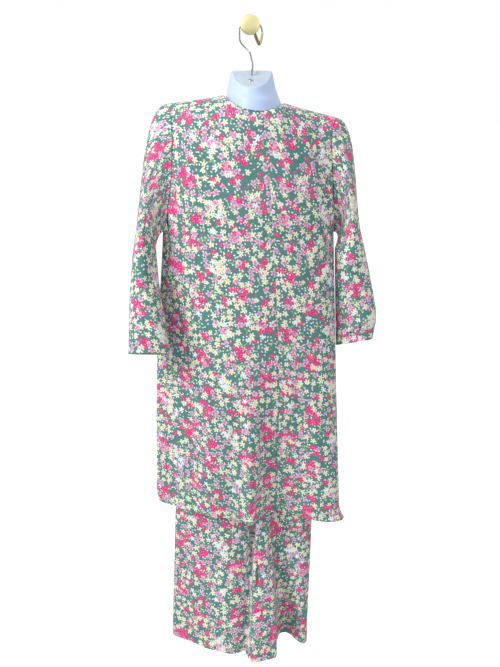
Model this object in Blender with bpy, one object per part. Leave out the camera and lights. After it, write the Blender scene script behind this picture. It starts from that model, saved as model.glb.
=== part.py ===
# Baju kurung set: a long tunic over a long skirt of the same flowered cloth, on a half torso form
# that hangs by a wire hook from a brass wall hook. Metres, +Z up. The origin is the centre of the
# wall hook's flat back. Tables give x to the right, out (distance from the wall) and drop (below
# the origin).
import math
from collections import namedtuple
from functools import lru_cache

import bmesh
import bpy
import numpy as np

# Driving dimensions
CLOTH = 0.0016
SEAM_GAP = 0.0003
ARMHOLE_GAP = 0.0010
CHEST_DROP = 0.4345
CHEST_TILT = 0.0247
SHOULDER_OUT = 0.060
FORM_REST_GAP = 0.0004
FORM_CHEST_GAP = 0.0055
FORM_NECK_GAP = 0.0030
WAIST_DROP = 0.545
WAISTBAND_HEIGHT = 0.030
WAISTBAND_WALL = 0.002

# Shoulder and neck points of the tunic
SHOULDER_LEFT = (-0.1805, SHOULDER_OUT, 0.1620)
SHOULDER_RIGHT = (0.1870, SHOULDER_OUT, 0.1903)
NECK_LEFT = (-0.0550, SHOULDER_OUT, 0.1453)
NECK_RIGHT = (0.0723, SHOULDER_OUT, 0.1610)
BACK_NECK_DEPTH = 0.087
BACK_NECK_DROP = 0.022
FRONT_NECK_DEPTH = 0.029
FRONT_NECK_DROP = 0.075
BACK_SEAM_NECK_ANGLE = math.radians(109)

# Plan of the tunic: places round the body, from the left side over the back to the right and round
TunicPlace = namedtuple("TunicPlace", "name chest_x chest_out hip_x hip_out hem_x hem_out hem_drop")
TUNIC_PLACES = (
    TunicPlace("left side", -0.192, 0.065, -0.2195, 0.050, -0.2345, 0.033, 1.1210),
    TunicPlace("left side seam", -0.180, 0.093, -0.1970, 0.073, -0.197, 0.055, 1.1235),
    TunicPlace("back left", -0.125, 0.1265, -0.1150, 0.117, -0.115, 0.093, 1.1275),
    TunicPlace("back left fold", -0.085, 0.1370, -0.0600, 0.135, -0.055, 0.109, 1.1300),
    TunicPlace("middle fold rise", -0.045, 0.1435, -0.0200, 0.141, -0.022, 0.119, 1.1315),
    TunicPlace("middle fold", -0.012, 0.1455, 0.0080, 0.140, 0.002, 0.134, 1.1335),
    TunicPlace("middle fold fall", 0.020, 0.1455, 0.0340, 0.134, 0.030, 0.093, 1.1340),
    TunicPlace("centre back seam", 0.051, 0.1420, 0.0670, 0.125, 0.066, 0.075, 1.1270),
    TunicPlace("back right", 0.076, 0.1375, 0.1000, 0.119, 0.110, 0.079, 1.1360),
    TunicPlace("right fold rise", 0.102, 0.1315, 0.1400, 0.112, 0.155, 0.099, 1.1405),
    TunicPlace("right fold", 0.150, 0.1110, 0.1740, 0.102, 0.193, 0.104, 1.1420),
    TunicPlace("right side", 0.182, 0.077, 0.1970, 0.079, 0.217, 0.089, 1.1440),
    TunicPlace("right side seam", 0.184, 0.050, 0.1990, 0.051, 0.216, 0.053, 1.1430),
    TunicPlace("front right edge", 0.140, 0.0270, 0.1400, 0.0250, 0.155, 0.0230, 1.1400),
    TunicPlace("front right", 0.050, 0.0235, 0.0500, 0.0215, 0.050, 0.0200, 1.1355),
    TunicPlace("front left", -0.055, 0.0235, -0.0550, 0.0215, -0.055, 0.0200, 1.1305),
    TunicPlace("front left edge", -0.152, 0.0310, -0.1720, 0.0270, -0.180, 0.0220, 1.1250),
)
TUNIC_HIP_SHARE = 0.48

# How the last bit of the tunic's sides turns sideways above the hem
HemTurn = namedtuple("HemTurn", "place half_width turn")
HEM_TURNS = (HemTurn(0.0, 1.2, 0.0070), HemTurn(11.4, 1.8, 0.0110))
HEM_TURN_LENGTH = 0.035
LEFT_SEAM, BACK_SEAM, RIGHT_SEAM = 1, 7, 12
LEFT_SEAM_AGAIN = LEFT_SEAM + len(TUNIC_PLACES)
BACK_NECK_FROM, BACK_NECK_TO = 4, 9
FRONT_NECK_FROM, FRONT_NECK_TO = 13.5, 15.75

# Armholes from the shoulder point down to the armpit: rise is the share of the armhole's height
ArmholeRow = namedtuple("ArmholeRow", "rise left_x left_near left_far right_x right_near right_far")
ARMHOLE_ROWS = (
    ArmholeRow(1.00, -0.1805, 0.060, 0.060, 0.1870, 0.060, 0.060),
    ArmholeRow(0.92, -0.1690, 0.092, 0.050, 0.1770, 0.083, 0.040),
    ArmholeRow(0.77, -0.1650, 0.107, 0.046, 0.1755, 0.092, 0.033),
    ArmholeRow(0.54, -0.1670, 0.110, 0.048, 0.1790, 0.090, 0.031),
    ArmholeRow(0.32, -0.1730, 0.106, 0.058, 0.1840, 0.082, 0.034),
    ArmholeRow(0.11, -0.1815, 0.100, 0.080, 0.1865, 0.066, 0.040),
    ArmholeRow(0.00, -0.1800, 0.093, 0.093, 0.1840, 0.050, 0.050),
)

# Sections of the sleeves below the armpit. Turn is about the vertical, in degrees, and the slopes
# say how the ring's drop changes outwards from the wall and to the right.
SleeveRow = namedtuple("SleeveRow", "drop x out half_x half_out turn slope_out slope_x")
LEFT_SLEEVE = (
    SleeveRow(0.479, -0.2337, 0.100, 0.0256, 0.0540, 0, -0.08, 0.0),
    SleeveRow(0.560, -0.2330, 0.120, 0.0330, 0.0500, 0, -0.16, 0.0),
    SleeveRow(0.630, -0.2275, 0.138, 0.0410, 0.0420, 0, -0.26, 0.0),
    SleeveRow(0.6980, -0.2250, 0.150, 0.0465, 0.0350, 0, -0.37, 0.0),
)
RIGHT_SLEEVE = (
    SleeveRow(0.479, 0.2262, 0.056, 0.0338, 0.0500, 4, 0.0, -0.05),
    SleeveRow(0.560, 0.2372, 0.053, 0.0415, 0.0420, 8, -0.05, -0.10),
    SleeveRow(0.640, 0.2460, 0.052, 0.0470, 0.0370, 10, -0.12, -0.16),
    SleeveRow(0.6985, 0.2445, 0.052, 0.0430, 0.0340, 10, -0.25, -0.19),
)

# Troughs of the sleeves: along is the share of the sleeve's length, round is in twelfths from the
# outer edge over the visible side
Trough = namedtuple("Trough", "name along_from along_to round_from round_to width depth")
LEFT_TROUGHS = (
    Trough("underarm crease", 0.10, 0.48, 1.8, 4.6, 0.80, 0.0055),
    Trough("inner elbow hollow", 0.36, 0.74, 4.4, 4.0, 0.90, 0.0035),
)
RIGHT_TROUGHS = (
    Trough("underarm crease", 0.14, 0.54, 2.2, 4.6, 0.80, 0.0055),
    Trough("forearm crease", 0.50, 0.80, 4.2, 3.6, 0.80, 0.0040),
    Trough("cuff tuck", 0.84, 0.98, 4.6, 1.4, 0.80, 0.0040),
)

# Plan of the skirt: waist_place is the place round the waist, as on the tunic's plan
SkirtPlace = namedtuple("SkirtPlace", "name waist_place hip_x hip_out mid_x mid_out hem_x hem_out")
SKIRT_PLACES = (
    SkirtPlace("left side", 0.0, -0.165, 0.060, -0.187, 0.050, -0.2030, 0.050),
    SkirtPlace("back left edge", 1.3, -0.150, 0.085, -0.160, 0.070, -0.1670, 0.068),
    SkirtPlace("back left", 2.2, -0.110, 0.108, -0.110, 0.081, -0.1105, 0.101),
    SkirtPlace("back left swell", 3.2, -0.050, 0.121, -0.050, 0.091, -0.0473, 0.122),
    SkirtPlace("centre back seam", 4.6, -0.005, 0.125, -0.004, 0.075, -0.0171, 0.111),
    SkirtPlace("valley", 5.0, 0.006, 0.126, 0.006, 0.058, -0.0100, 0.122),
    SkirtPlace("pleat left edge", 5.5, 0.018, 0.126, 0.015, 0.080, 0.0063, 0.152),
    SkirtPlace("pleat front", 6.0, 0.030, 0.126, 0.030, 0.082, 0.0327, 0.145),
    SkirtPlace("pleat front right", 6.6, 0.045, 0.125, 0.046, 0.075, 0.0599, 0.135),
    SkirtPlace("pleat right edge", 7.0, 0.055, 0.123, 0.054, 0.066, 0.0683, 0.124),
    SkirtPlace("pleat return", 7.3, 0.062, 0.121, 0.059, 0.060, 0.0690, 0.080),
    SkirtPlace("hollow", 7.7, 0.070, 0.119, 0.067, 0.058, 0.0775, 0.038),
    SkirtPlace("hollow right", 8.3, 0.088, 0.114, 0.085, 0.062, 0.1008, 0.034),
    SkirtPlace("back right", 9.2, 0.115, 0.103, 0.108, 0.068, 0.1245, 0.066),
    SkirtPlace("back right edge", 10.0, 0.138, 0.088, 0.130, 0.070, 0.1413, 0.074),
    SkirtPlace("right side", 11.3, 0.158, 0.062, 0.1555, 0.050, 0.1480, 0.055),
    SkirtPlace("front right", 13.0, 0.130, 0.032, 0.130, 0.029, 0.1300, 0.022),
    SkirtPlace("front middle", 14.2, 0.000, 0.027, -0.030, 0.027, -0.0300, 0.017),
    SkirtPlace("front left", 15.2, -0.120, 0.031, -0.120, 0.028, -0.1200, 0.018),
    SkirtPlace("front left corner", 16.2, -0.155, 0.044, -0.172, 0.034, -0.1900, 0.027),
)
SKIRT_DROPS = (WAIST_DROP + WAISTBAND_HEIGHT + SEAM_GAP, 0.720, 1.149, 1.508)
SKIRT_LEFT_SEAM, SKIRT_BACK_SEAM, SKIRT_RIGHT_SEAM = 0, 4, 15
SKIRT_WAIST_OUTSET = 0.0042

# Levels of the form below the chest, as shares of the chest's width and depth
FormRow = namedtuple("FormRow", "drop width depth")
FORM_ROWS = (
    FormRow(0.800, 0.74, 0.62),
    FormRow(0.796, 0.77, 0.65),
    FormRow(0.720, 0.79, 0.68),
    FormRow(0.640, 0.74, 0.67),
    FormRow(WAIST_DROP + WAISTBAND_HEIGHT + 0.006, 0.70, 0.68),
    FormRow(WAIST_DROP - 0.004, 0.70, 0.68),
    FormRow(0.500, 0.80, 0.80),
)
FORM_BACK_OUT = 0.037

# Rings of the form's neck, from its foot to the slanted cap
NeckRow = namedtuple("NeckRow", "x half_width back_out depth far_depth back_drop slope tilt")
NECK_ROWS = (
    NeckRow(0.0075, 0.0565, 0.0590, 0.0810, 0.0110, 0.1470, 0.05, 0.11),
    NeckRow(0.0040, 0.0530, 0.0520, 0.0840, 0.0090, 0.1330, 0.20, 0.05),
    NeckRow(0.0030, 0.0485, 0.0480, 0.0835, 0.0070, 0.1150, 0.33, 0.0),
    NeckRow(0.0036, 0.0455, 0.0455, 0.0835, 0.0055, 0.1000, 0.42, 0.0),
    NeckRow(0.0040, 0.0440, 0.0450, 0.0830, 0.0050, 0.0955, 0.435, 0.0),
    NeckRow(0.0040, 0.0425, 0.0465, 0.0800, 0.0045, 0.0945, 0.435, 0.0),
)
CAP_SCREW = (0.0010, 0.0930)
CAP_SCREW_RADIUS = 0.0048
CAP_SCREW_HEIGHT = 0.0030

# Hooks
WIRE_RADIUS = 0.0016
STEM_RADIUS = 0.0055
WIRE_ARC_OUT = 0.022
WIRE_ARC_DROP = 0.009
WIRE_ARC_X = 0.0015
WIRE_ARC_HALF_WIDTH = 0.0240
WIRE_CAP_POINT = (0.0040, 0.0670)
WIRE_ROUTE = (
    (-0.0214, 0.022, 0.031),
    (-0.0107, 0.025, 0.045),
    (-0.0006, 0.031, 0.056),
    (0.0032, 0.040, 0.069),
    (0.0058, 0.051, 0.082),
    (0.0052, 0.060, 0.093),
)
KNOB_RADIUS = 0.0208
WALL_HOOK_PROFILE = (
    # radius, out
    (0.0160, 0.0000),
    (0.0160, 0.0030),
    (0.0145, 0.0045),
    (0.0075, 0.0060),
    (STEM_RADIUS, 0.0100),
    (STEM_RADIUS, 0.0320),
    (0.0090, 0.0345),
    (KNOB_RADIUS - 0.0015, 0.0350),
    (KNOB_RADIUS, 0.0370),
    (KNOB_RADIUS, 0.0395),
    (KNOB_RADIUS - 0.0012, 0.0415),
    (KNOB_RADIUS - 0.0035, 0.0422),
    (0.0080, 0.0430),
)
PRONG_ROUTE = (
    # x, out, drop, radius
    (0.0050, 0.0020, 0.0080, 0.0030),
    (0.0095, 0.0080, 0.0140, 0.0033),
    (0.0140, 0.0160, 0.0260, 0.0034),
    (0.0180, 0.0240, 0.0355, 0.0034),
    (0.0205, 0.0310, 0.0380, 0.0032),
    (0.0230, 0.0375, 0.0330, 0.0028),
    (0.0250, 0.0425, 0.0240, 0.0025),
    (0.0262, 0.0450, 0.0160, 0.0025),
)


# Curves and blends

def world(point):
    """A point given by x, out and drop, as x, y, z."""
    return np.array((point[0], -point[1], -point[2]))


def hermite(a, b, slope_a, slope_b, at):
    """The cubic from a to b with these slopes, at a share from 0 to 1."""
    squared, cubed = at * at, at * at * at
    return (
        (2 * cubed - 3 * squared + 1) * a
        + (cubed - 2 * squared + at) * slope_a
        + (3 * squared - 2 * cubed) * b
        + (cubed - squared) * slope_b
    )


def round_ring(points, place):
    """The closed smooth curve through the points, at a place counted in points."""
    count = len(points)
    first = math.floor(place)
    before, a, b, after = (points[(first + step) % count] for step in (-1, 0, 1, 2))
    return hermite(a, b, (b - before) / 2, (after - a) / 2, place - first)


def through(points, stations, at):
    """The open smooth curve through the points, at a station between the first and the last."""
    last = len(points) - 1
    first = min(max(int(np.searchsorted(stations, at, side="right")) - 1, 0), last - 1)
    span = stations[first + 1] - stations[first]

    def slope(index):
        low, high = max(index - 1, 0), min(index + 1, last)
        return (points[high] - points[low]) / (stations[high] - stations[low]) * span

    share = (at - stations[first]) / span
    return hermite(points[first], points[first + 1], slope(first), slope(first + 1), share)


def towards(a, b, share):
    return np.asarray(a) * (1 - share) + np.asarray(b) * share


# The tunic's body

@lru_cache(maxsize=None)
def tunic_ring(share):
    """The places of the body at this share of its length."""
    ring = []
    for row in TUNIC_PLACES:
        chest = np.array((row.chest_x, row.chest_out, CHEST_DROP + CHEST_TILT * row.chest_x))
        hem = np.array((row.hem_x, row.hem_out, row.hem_drop))
        hip = np.array((row.hip_x, row.hip_out, towards(chest[2], hem[2], TUNIC_HIP_SHARE)))
        ring.append(through((chest, hip, hem), (0, TUNIC_HIP_SHARE, 1), share))
    above_hem = (1 - share) * (TUNIC_PLACES[0].hem_drop - CHEST_DROP)
    near_hem = max(0.0, 1 - above_hem / HEM_TURN_LENGTH) ** 2
    for turn in HEM_TURNS:
        for index in range(len(ring)):
            away = abs(index - turn.place) / turn.half_width
            if away < 1:
                ring[index] = ring[index] + np.array((turn.turn * near_hem * (1 - away**2), 0.0, 0.0))
    return ring


def tunic_body(place, share):
    """A point of the body, share 0 at the armpits' level and 1 at the hem."""
    return round_ring(tunic_ring(share), place)


@lru_cache(maxsize=None)
def armhole(side, round_place):
    """The armhole's loop, in twelfths from the shoulder down the visible side and up the other."""
    near = round_place <= 6
    step = round_place if near else 12 - round_place
    names = [f"{side}_x", f"{side}_near" if near else f"{side}_far"]
    top = SHOULDER_LEFT[2] if side == "left" else SHOULDER_RIGHT[2]
    seam = LEFT_SEAM if side == "left" else RIGHT_SEAM
    bottom = tunic_body(seam, 0)[2]
    loop = []
    for index in range(-1, 8):
        row = ARMHOLE_ROWS[abs(index) if index < 7 else 12 - index]
        over = index in (-1, 7)
        other = f"{side}_far" if near else f"{side}_near"
        out = getattr(row, other if over else names[1])
        loop.append(np.array((getattr(row, names[0]), out, towards(bottom, top, row.rise))))
    return through(loop, tuple(range(-1, 8)), step)


@lru_cache(maxsize=None)
def armhole_rises():
    """How high the armhole's loop is at steps from the shoulder to the armpit."""
    rises = [np.array(row.rise) for row in ARMHOLE_ROWS]
    return [float(through(rises, tuple(range(7)), step)) for step in np.linspace(0, 6, 121)]


@lru_cache(maxsize=None)
def armhole_at_rise(side, near, rise):
    """The armhole's point at this share of its height."""
    step = float(np.interp(rise, armhole_rises()[::-1], np.linspace(6, 0, 121)))
    return armhole(side, step if near else 12 - step)


def neckline(angle, depth, fall):
    """The neck edge from the left shoulder, over the visible side when depth is positive."""
    middle = towards(NECK_LEFT, NECK_RIGHT, 0.5)
    share = (1 - math.cos(angle)) / 2
    drop = towards(NECK_LEFT, NECK_RIGHT, share)[2] + fall * math.sin(angle) ** 2
    half = (NECK_RIGHT[0] - NECK_LEFT[0]) / 2
    return np.array((middle[0] - half * math.cos(angle), SHOULDER_OUT + depth * math.sin(angle), drop))


def top_edge(place):
    """The shoulder and neck edge of the tunic above this place."""
    if place <= BACK_NECK_FROM:
        return towards(SHOULDER_LEFT, NECK_LEFT, (place - LEFT_SEAM) / (BACK_NECK_FROM - LEFT_SEAM))
    if place <= BACK_SEAM:
        share = (place - BACK_NECK_FROM) / (BACK_SEAM - BACK_NECK_FROM)
        return neckline(BACK_SEAM_NECK_ANGLE * share, BACK_NECK_DEPTH, BACK_NECK_DROP)
    if place <= BACK_NECK_TO:
        share = (place - BACK_SEAM) / (BACK_NECK_TO - BACK_SEAM)
        angle = towards(BACK_SEAM_NECK_ANGLE, math.pi, share)
        return neckline(float(angle), BACK_NECK_DEPTH, BACK_NECK_DROP)
    if place <= RIGHT_SEAM:
        return towards(NECK_RIGHT, SHOULDER_RIGHT, (place - BACK_NECK_TO) / (RIGHT_SEAM - BACK_NECK_TO))
    if place <= FRONT_NECK_FROM:
        share = (place - RIGHT_SEAM) / (FRONT_NECK_FROM - RIGHT_SEAM)
        return towards(SHOULDER_RIGHT, NECK_RIGHT, share)
    if place <= FRONT_NECK_TO:
        share = (FRONT_NECK_TO - place) / (FRONT_NECK_TO - FRONT_NECK_FROM)
        return neckline(math.pi * share, -FRONT_NECK_DEPTH, FRONT_NECK_DROP)
    share = (place - FRONT_NECK_TO) / (LEFT_SEAM_AGAIN - FRONT_NECK_TO)
    return towards(NECK_LEFT, SHOULDER_LEFT, share)


def shoulder_fullness(place, near):
    """The power of the curve over the shoulder: rounder at its end, fuller beside the back neck."""
    stations = (LEFT_SEAM, BACK_NECK_FROM, BACK_NECK_TO, RIGHT_SEAM)
    share = float(np.interp(place, stations, (0, 1, 1, 0))) if near else 0.0
    return 2.6 + 1.8 * share**2


def tunic_yoke(place, rise, near):
    """A point between the armpits' level, rise 0, and the shoulders and neck, rise 1."""
    start, end = (LEFT_SEAM, RIGHT_SEAM) if near else (RIGHT_SEAM, LEFT_SEAM_AGAIN)
    sides = ("left", "right") if near else ("right", "left")
    fullness = shoulder_fullness(place, near)
    over = 1 - (1 - rise**fullness) ** (1 / fullness)

    def plain(at):
        bottom, top = tunic_body(at, 0), top_edge(at)
        shares = np.array((rise, over, rise))
        return bottom + (top - bottom) * shares

    share = (place - start) / (end - start)
    first = armhole_at_rise(sides[0], near, rise) - plain(start)
    last = armhole_at_rise(sides[1], near, rise) - plain(end)
    return plain(place) + first * (1 - share) ** 3 + last * share**3


@lru_cache(maxsize=None)
def tunic_point(place, height, near):
    """Height 0 is the hem, 1 the armpits' level and 2 the shoulders and neck."""
    if height <= 1:
        return world(tunic_body(place, 1 - height))
    return world(tunic_yoke(place, height - 1, near))


@lru_cache(maxsize=None)
def tunic_normal(place, height, near):
    """The direction straight out of the cloth."""
    start, end = (LEFT_SEAM, RIGHT_SEAM) if near else (RIGHT_SEAM, LEFT_SEAM_AGAIN)
    step = 0.03
    free = height <= 1
    before = place - step if free else max(place - step, start)
    after = place + step if free else min(place + step, end)
    low, high = max(height - step, 0), min(height + step, 1 if free else 2)
    if height == 2:
        low = 2 - step / 3
    across = tunic_point(after, height, near) - tunic_point(before, height, near)
    upwards = tunic_point(place, high, near) - tunic_point(place, low, near)
    return unit(np.cross(across, upwards))


def unit(vector):
    return vector / np.linalg.norm(vector)


# Walls and solids

def add_object(name, points, faces, material, smooth=True):
    mesh = bpy.data.meshes.new(name)
    mesh.from_pydata([tuple(float(v) for v in point) for point in points], [], faces)
    fixed = bmesh.new()
    fixed.from_mesh(mesh)
    bmesh.ops.recalc_face_normals(fixed, faces=fixed.faces)
    fixed.to_mesh(mesh)
    fixed.free()
    if smooth:
        mesh.shade_smooth()
        mesh.set_sharp_from_angle(angle=math.radians(40))
    mesh.materials.append(material)
    item = bpy.data.objects.new(name, mesh)
    bpy.context.scene.collection.objects.link(item)
    return item


def grid_faces(rows, columns, start, closed, flip):
    """The faces of a grid of points, which may close on itself."""
    faces = []
    for row in range(rows - 1):
        for column in range(columns if closed else columns - 1):
            after = (column + 1) % columns
            a, b = start + row * columns + column, start + row * columns + after
            c, d = b + columns, a + columns
            faces.append((a, d, c, b) if flip else (a, b, c, d))
    return faces


def cloth_wall(name, outer, inner, material, closed=False):
    """A wall between an outer and an inner grid of points, with its edges closed."""
    rows, columns = len(outer), len(outer[0])
    points = [point for grid in (outer, inner) for row in grid for point in row]
    half = rows * columns
    faces = grid_faces(rows, columns, 0, closed, False)
    faces += grid_faces(rows, columns, half, closed, True)
    for row in (0, rows - 1):
        for column in range(columns if closed else columns - 1):
            a = row * columns + column
            b = row * columns + (column + 1) % columns
            faces.append((a, b, half + b, half + a))
    for column in () if closed else (0, columns - 1):
        for row in range(rows - 1):
            a, b = row * columns + column, (row + 1) * columns + column
            faces.append((a, b, half + b, half + a))
    return add_object(name, points, faces, material)


def shortened(grid, first, last, amount):
    """Draws the grid's first and last columns back along the rows, for the space at a seam."""
    for row in grid:
        if first:
            row[0] = row[0] + unit(row[1] - row[0]) * amount
        if last:
            row[-1] = row[-1] + unit(row[-2] - row[-1]) * amount
    return grid


def panel(name, places, heights, near, material):
    """A body panel of the tunic between two seams."""
    outer, inner = [], []
    for height in heights:
        outer_row, inner_row = [], []
        for place in places:
            point = tunic_point(place, height, near)
            inwards = tunic_normal(place, height, near)
            on_shoulder = place <= BACK_NECK_FROM or BACK_NECK_TO <= place <= FRONT_NECK_FROM
            if height == 2 and (on_shoulder or place >= FRONT_NECK_TO):
                point = point + np.array((0, -SEAM_GAP if near else SEAM_GAP, 0)) / 2
                inwards = np.array((0.0, 0.0, 1.0))
            outer_row.append(point)
            inner_row.append(point - inwards * CLOTH)
        outer.append(outer_row)
        inner.append(inner_row)
    for grid in (outer, inner):
        shortened(grid, True, True, SEAM_GAP / 2)
    return cloth_wall(name, outer, inner, material)


@lru_cache(maxsize=None)
def sleeve_point(side, along, round_place):
    """A point of a sleeve, along 0 at the armhole and 1 at the cuff, round in twelfths."""
    rows = LEFT_SLEEVE if side == "left" else RIGHT_SLEEVE
    outwards = -1 if side == "left" else 1
    angle = math.tau * round_place / 12

    def ring_point(drop):
        stations = [row.drop for row in rows]
        values = through([np.array(row) for row in rows], stations, drop)
        _, x, out, half_x, half_out, turn, slope_out, slope_x = values
        dx = outwards * half_x * math.cos(angle)
        dout = half_out * math.sin(angle)
        turn = math.radians(turn)
        dx, dout = (
            dx * math.cos(turn) - dout * math.sin(turn),
            dx * math.sin(turn) + dout * math.cos(turn),
        )
        return world((x + dx, out + dout, drop + slope_out * dout + slope_x * dx))

    cap_share = 0.42
    first, last = rows[0].drop, rows[-1].drop
    if along >= cap_share:
        return ring_point(first + (last - first) * (along - cap_share) / (1 - cap_share))
    start = world(armhole(side, round_place % 12))
    end = ring_point(first)
    below = ring_point(first + 0.02) - end
    high = (1 + math.cos(angle)) / 2
    falling = 0.005 - 0.04 * high - 0.065 * math.sin(angle) ** 2
    leave = np.array((outwards * (0.075 + 0.09 * high), 0.0, falling))
    length = np.linalg.norm(end - start)
    arrive = unit(below) * length * (0.55 + 0.45 * high)
    arrive[0] += outwards * 0.035 * high
    share = along / cap_share
    return hermite(start, end, leave, arrive, share) + unit(leave) * ARMHOLE_GAP * (1 - share)


def sleeve_outwards(side, along, round_place):
    """The direction straight out of the sleeve's cloth, and out of the loop at the armhole."""
    low, high = max(along - 0.02, 0), min(along + 0.02, 1)
    across = sleeve_point(side, along, round_place + 0.1) - sleeve_point(side, along, round_place - 0.1)
    lengthways = sleeve_point(side, high, round_place) - sleeve_point(side, low, round_place)
    normal = unit(np.cross(across, lengthways)) * (-1 if side == "left" else 1)
    if along > 0.05:
        return normal
    middle = sum(sleeve_point(side, 0, place) for place in range(12)) / 12
    spoke = sleeve_point(side, 0, round_place) - middle
    spoke[0] = 0
    return unit(towards(unit(spoke), normal, along / 0.05))


def trough_depth(troughs, along, round_place):
    """How deep the troughs press the sleeve in at this point."""
    depth = 0.0
    for trough in troughs:
        share = (along - trough.along_from) / (trough.along_to - trough.along_from)
        if not 0 < share < 1:
            continue
        line = trough.round_from + (trough.round_to - trough.round_from) * share
        away = (round_place - line + 6) % 12 - 6
        depth += trough.depth * math.sin(math.pi * share) * math.exp(-((away / trough.width) ** 2))
    return depth


def sleeve(name, side, material):
    """A sleeve as one closed tube of cloth, from its armhole to its cuff."""
    troughs = LEFT_TROUGHS if side == "left" else RIGHT_TROUGHS
    outer, inner = [], []
    for along in (0, 0.03, 0.08, 0.14, 0.21, 0.28, 0.35, 0.42, 0.5, 0.58, 0.66, 0.74, 0.82, 0.88, 0.94, 1):
        outer_row, inner_row = [], []
        for step in range(24):
            place = step / 2
            outwards = sleeve_outwards(side, along, place)
            point = sleeve_point(side, along, place) - outwards * trough_depth(troughs, along, place)
            outer_row.append(point)
            inner_row.append(point - outwards * CLOTH)
        outer.append(outer_row)
        inner.append(inner_row)
    return cloth_wall(name, outer, inner, material, closed=True)


# The form

def columns_between(first, last, step):
    return [first + step * index for index in range(round((last - first) / step) + 1)]


NEAR_COLUMNS = columns_between(LEFT_SEAM, RIGHT_SEAM, 0.5)
FAR_COLUMNS = (
    columns_between(RIGHT_SEAM, FRONT_NECK_FROM, 0.25)
    + columns_between(FRONT_NECK_FROM, FRONT_NECK_TO, 0.375)[1:]
    + columns_between(FRONT_NECK_TO, LEFT_SEAM_AGAIN, 0.375)[1:]
)
YOKE_RISES = (0, 0.15, 0.32, 0.5, 0.66, 0.79, 0.89, 0.955, 0.987, 1)
FORM_RISES = (0, 0.15, 0.32, 0.5, 0.66, 0.79, 0.89, 0.95, 1)
TUNIC_HEIGHTS = (0, 0.015, 0.035, 0.07, 0.14, 0.22, 0.31, 0.40, 0.49, 0.58, 0.67, 0.76, 0.85, 0.93)


def form_chest(place):
    """The form's ring at the armpits' level, inside the tunic."""
    return tunic_point(place, 1, True) - tunic_normal(place, 1, True) * (CLOTH + FORM_CHEST_GAP)


def form_level(row, place):
    """The form's ring at a level below the chest."""
    chest = form_chest(place)
    middle = 0.002
    x = middle + (chest[0] - middle) * row.width
    out = FORM_BACK_OUT + (-chest[1] - FORM_BACK_OUT) * row.depth
    return world((x, out, row.drop + CHEST_TILT * x))


def form_yoke(place, rise, near):
    """The form's upper part, inside the tunic's yoke and resting just under its shoulders."""
    on_shoulder = place <= BACK_NECK_FROM or BACK_NECK_TO <= place <= FRONT_NECK_FROM
    on_shoulder = on_shoulder or place >= FRONT_NECK_TO
    least = FORM_REST_GAP if on_shoulder else FORM_NECK_GAP
    inside = CLOTH + least + (FORM_CHEST_GAP - least) * (1 - rise) ** 0.7
    point = tunic_point(place, 1 + rise, near)
    normal = tunic_normal(place, 1 + rise, near)
    if rise < 1:
        return point - normal * inside
    if place in (BACK_NECK_FROM, BACK_NECK_TO, FRONT_NECK_FROM, FRONT_NECK_TO):
        to_middle = math.copysign(1, 0.0087 - point[0])
        step = (0.005 * to_middle, -0.0055, -0.005) if near else (0.002 * to_middle, -0.0035, -0.005)
    elif on_shoulder:
        step = (0.0, -0.0015 if near else 0.0015, -inside - 0.0012)
    elif near:
        inwards = unit(np.array((0.0087 - point[0], -0.085 - point[1])))
        step = (inwards[0] * 0.005, inwards[1] * 0.005, -0.004)
    else:
        step = (0.0, -0.005, -0.005)
    return point + np.array(step)


def form_columns(rise):
    """The places of the visible and the hidden side, drawn in from the seams at the armpits."""
    near, far = list(NEAR_COLUMNS), list(FAR_COLUMNS)
    near_step, far_step = 0.3 - 0.2 * rise, 0.12 - 0.06 * rise
    near[0], near[-1] = near[0] + near_step, near[-1] - near_step
    far[0], far[-1] = far[0] + far_step, far[-1] - far_step
    return near, far


def form_ring(rise):
    """One closed ring of the upper part, with the limbless shoulder ends rounded out."""
    near_places, far_places = form_columns(rise)
    if rise == 0:
        near = [form_chest(place) for place in near_places]
        far = [form_chest(place) for place in far_places]
        return near + [form_chest(RIGHT_SEAM)] + far + [form_chest(LEFT_SEAM)]
    near = [form_yoke(place, rise, True) for place in near_places]
    far = [form_yoke(place, rise, False) for place in far_places]
    bulge = 0.010 * math.sin(math.pi * rise) + 0.0008
    right = (near[-1] + far[0]) / 2 + np.array((bulge, 0, 0))
    left = (near[0] + far[-1]) / 2 - np.array((bulge, 0, 0))
    return near + [right] + far + [left]


def ring_places():
    """The places of a full ring of the form, in the same order as form_ring."""
    near, far = form_columns(0)
    return near + [RIGHT_SEAM] + far + [LEFT_SEAM]


def neck_ring(row, near_count, far_count):
    """A ring of the neck: rounded on the visible side and nearly flat on the other."""
    ring = []
    for index in range(near_count):
        angle = math.pi * index / (near_count - 1)
        ring.append((-math.cos(angle), row.depth * math.sin(angle)))
    for index in range(far_count):
        angle = math.pi * (index + 0.2) / (far_count - 0.6)
        ring.append((math.cos(angle), -row.far_depth * math.sin(angle) ** 0.6))
    points = []
    for across, outwards in ring:
        out = row.back_out + outwards
        sideways = row.half_width * across
        drop = row.back_drop + row.slope * (out - row.back_out) + row.tilt * sideways
        points.append(world((row.x + sideways, out, drop)))
    return points


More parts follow.
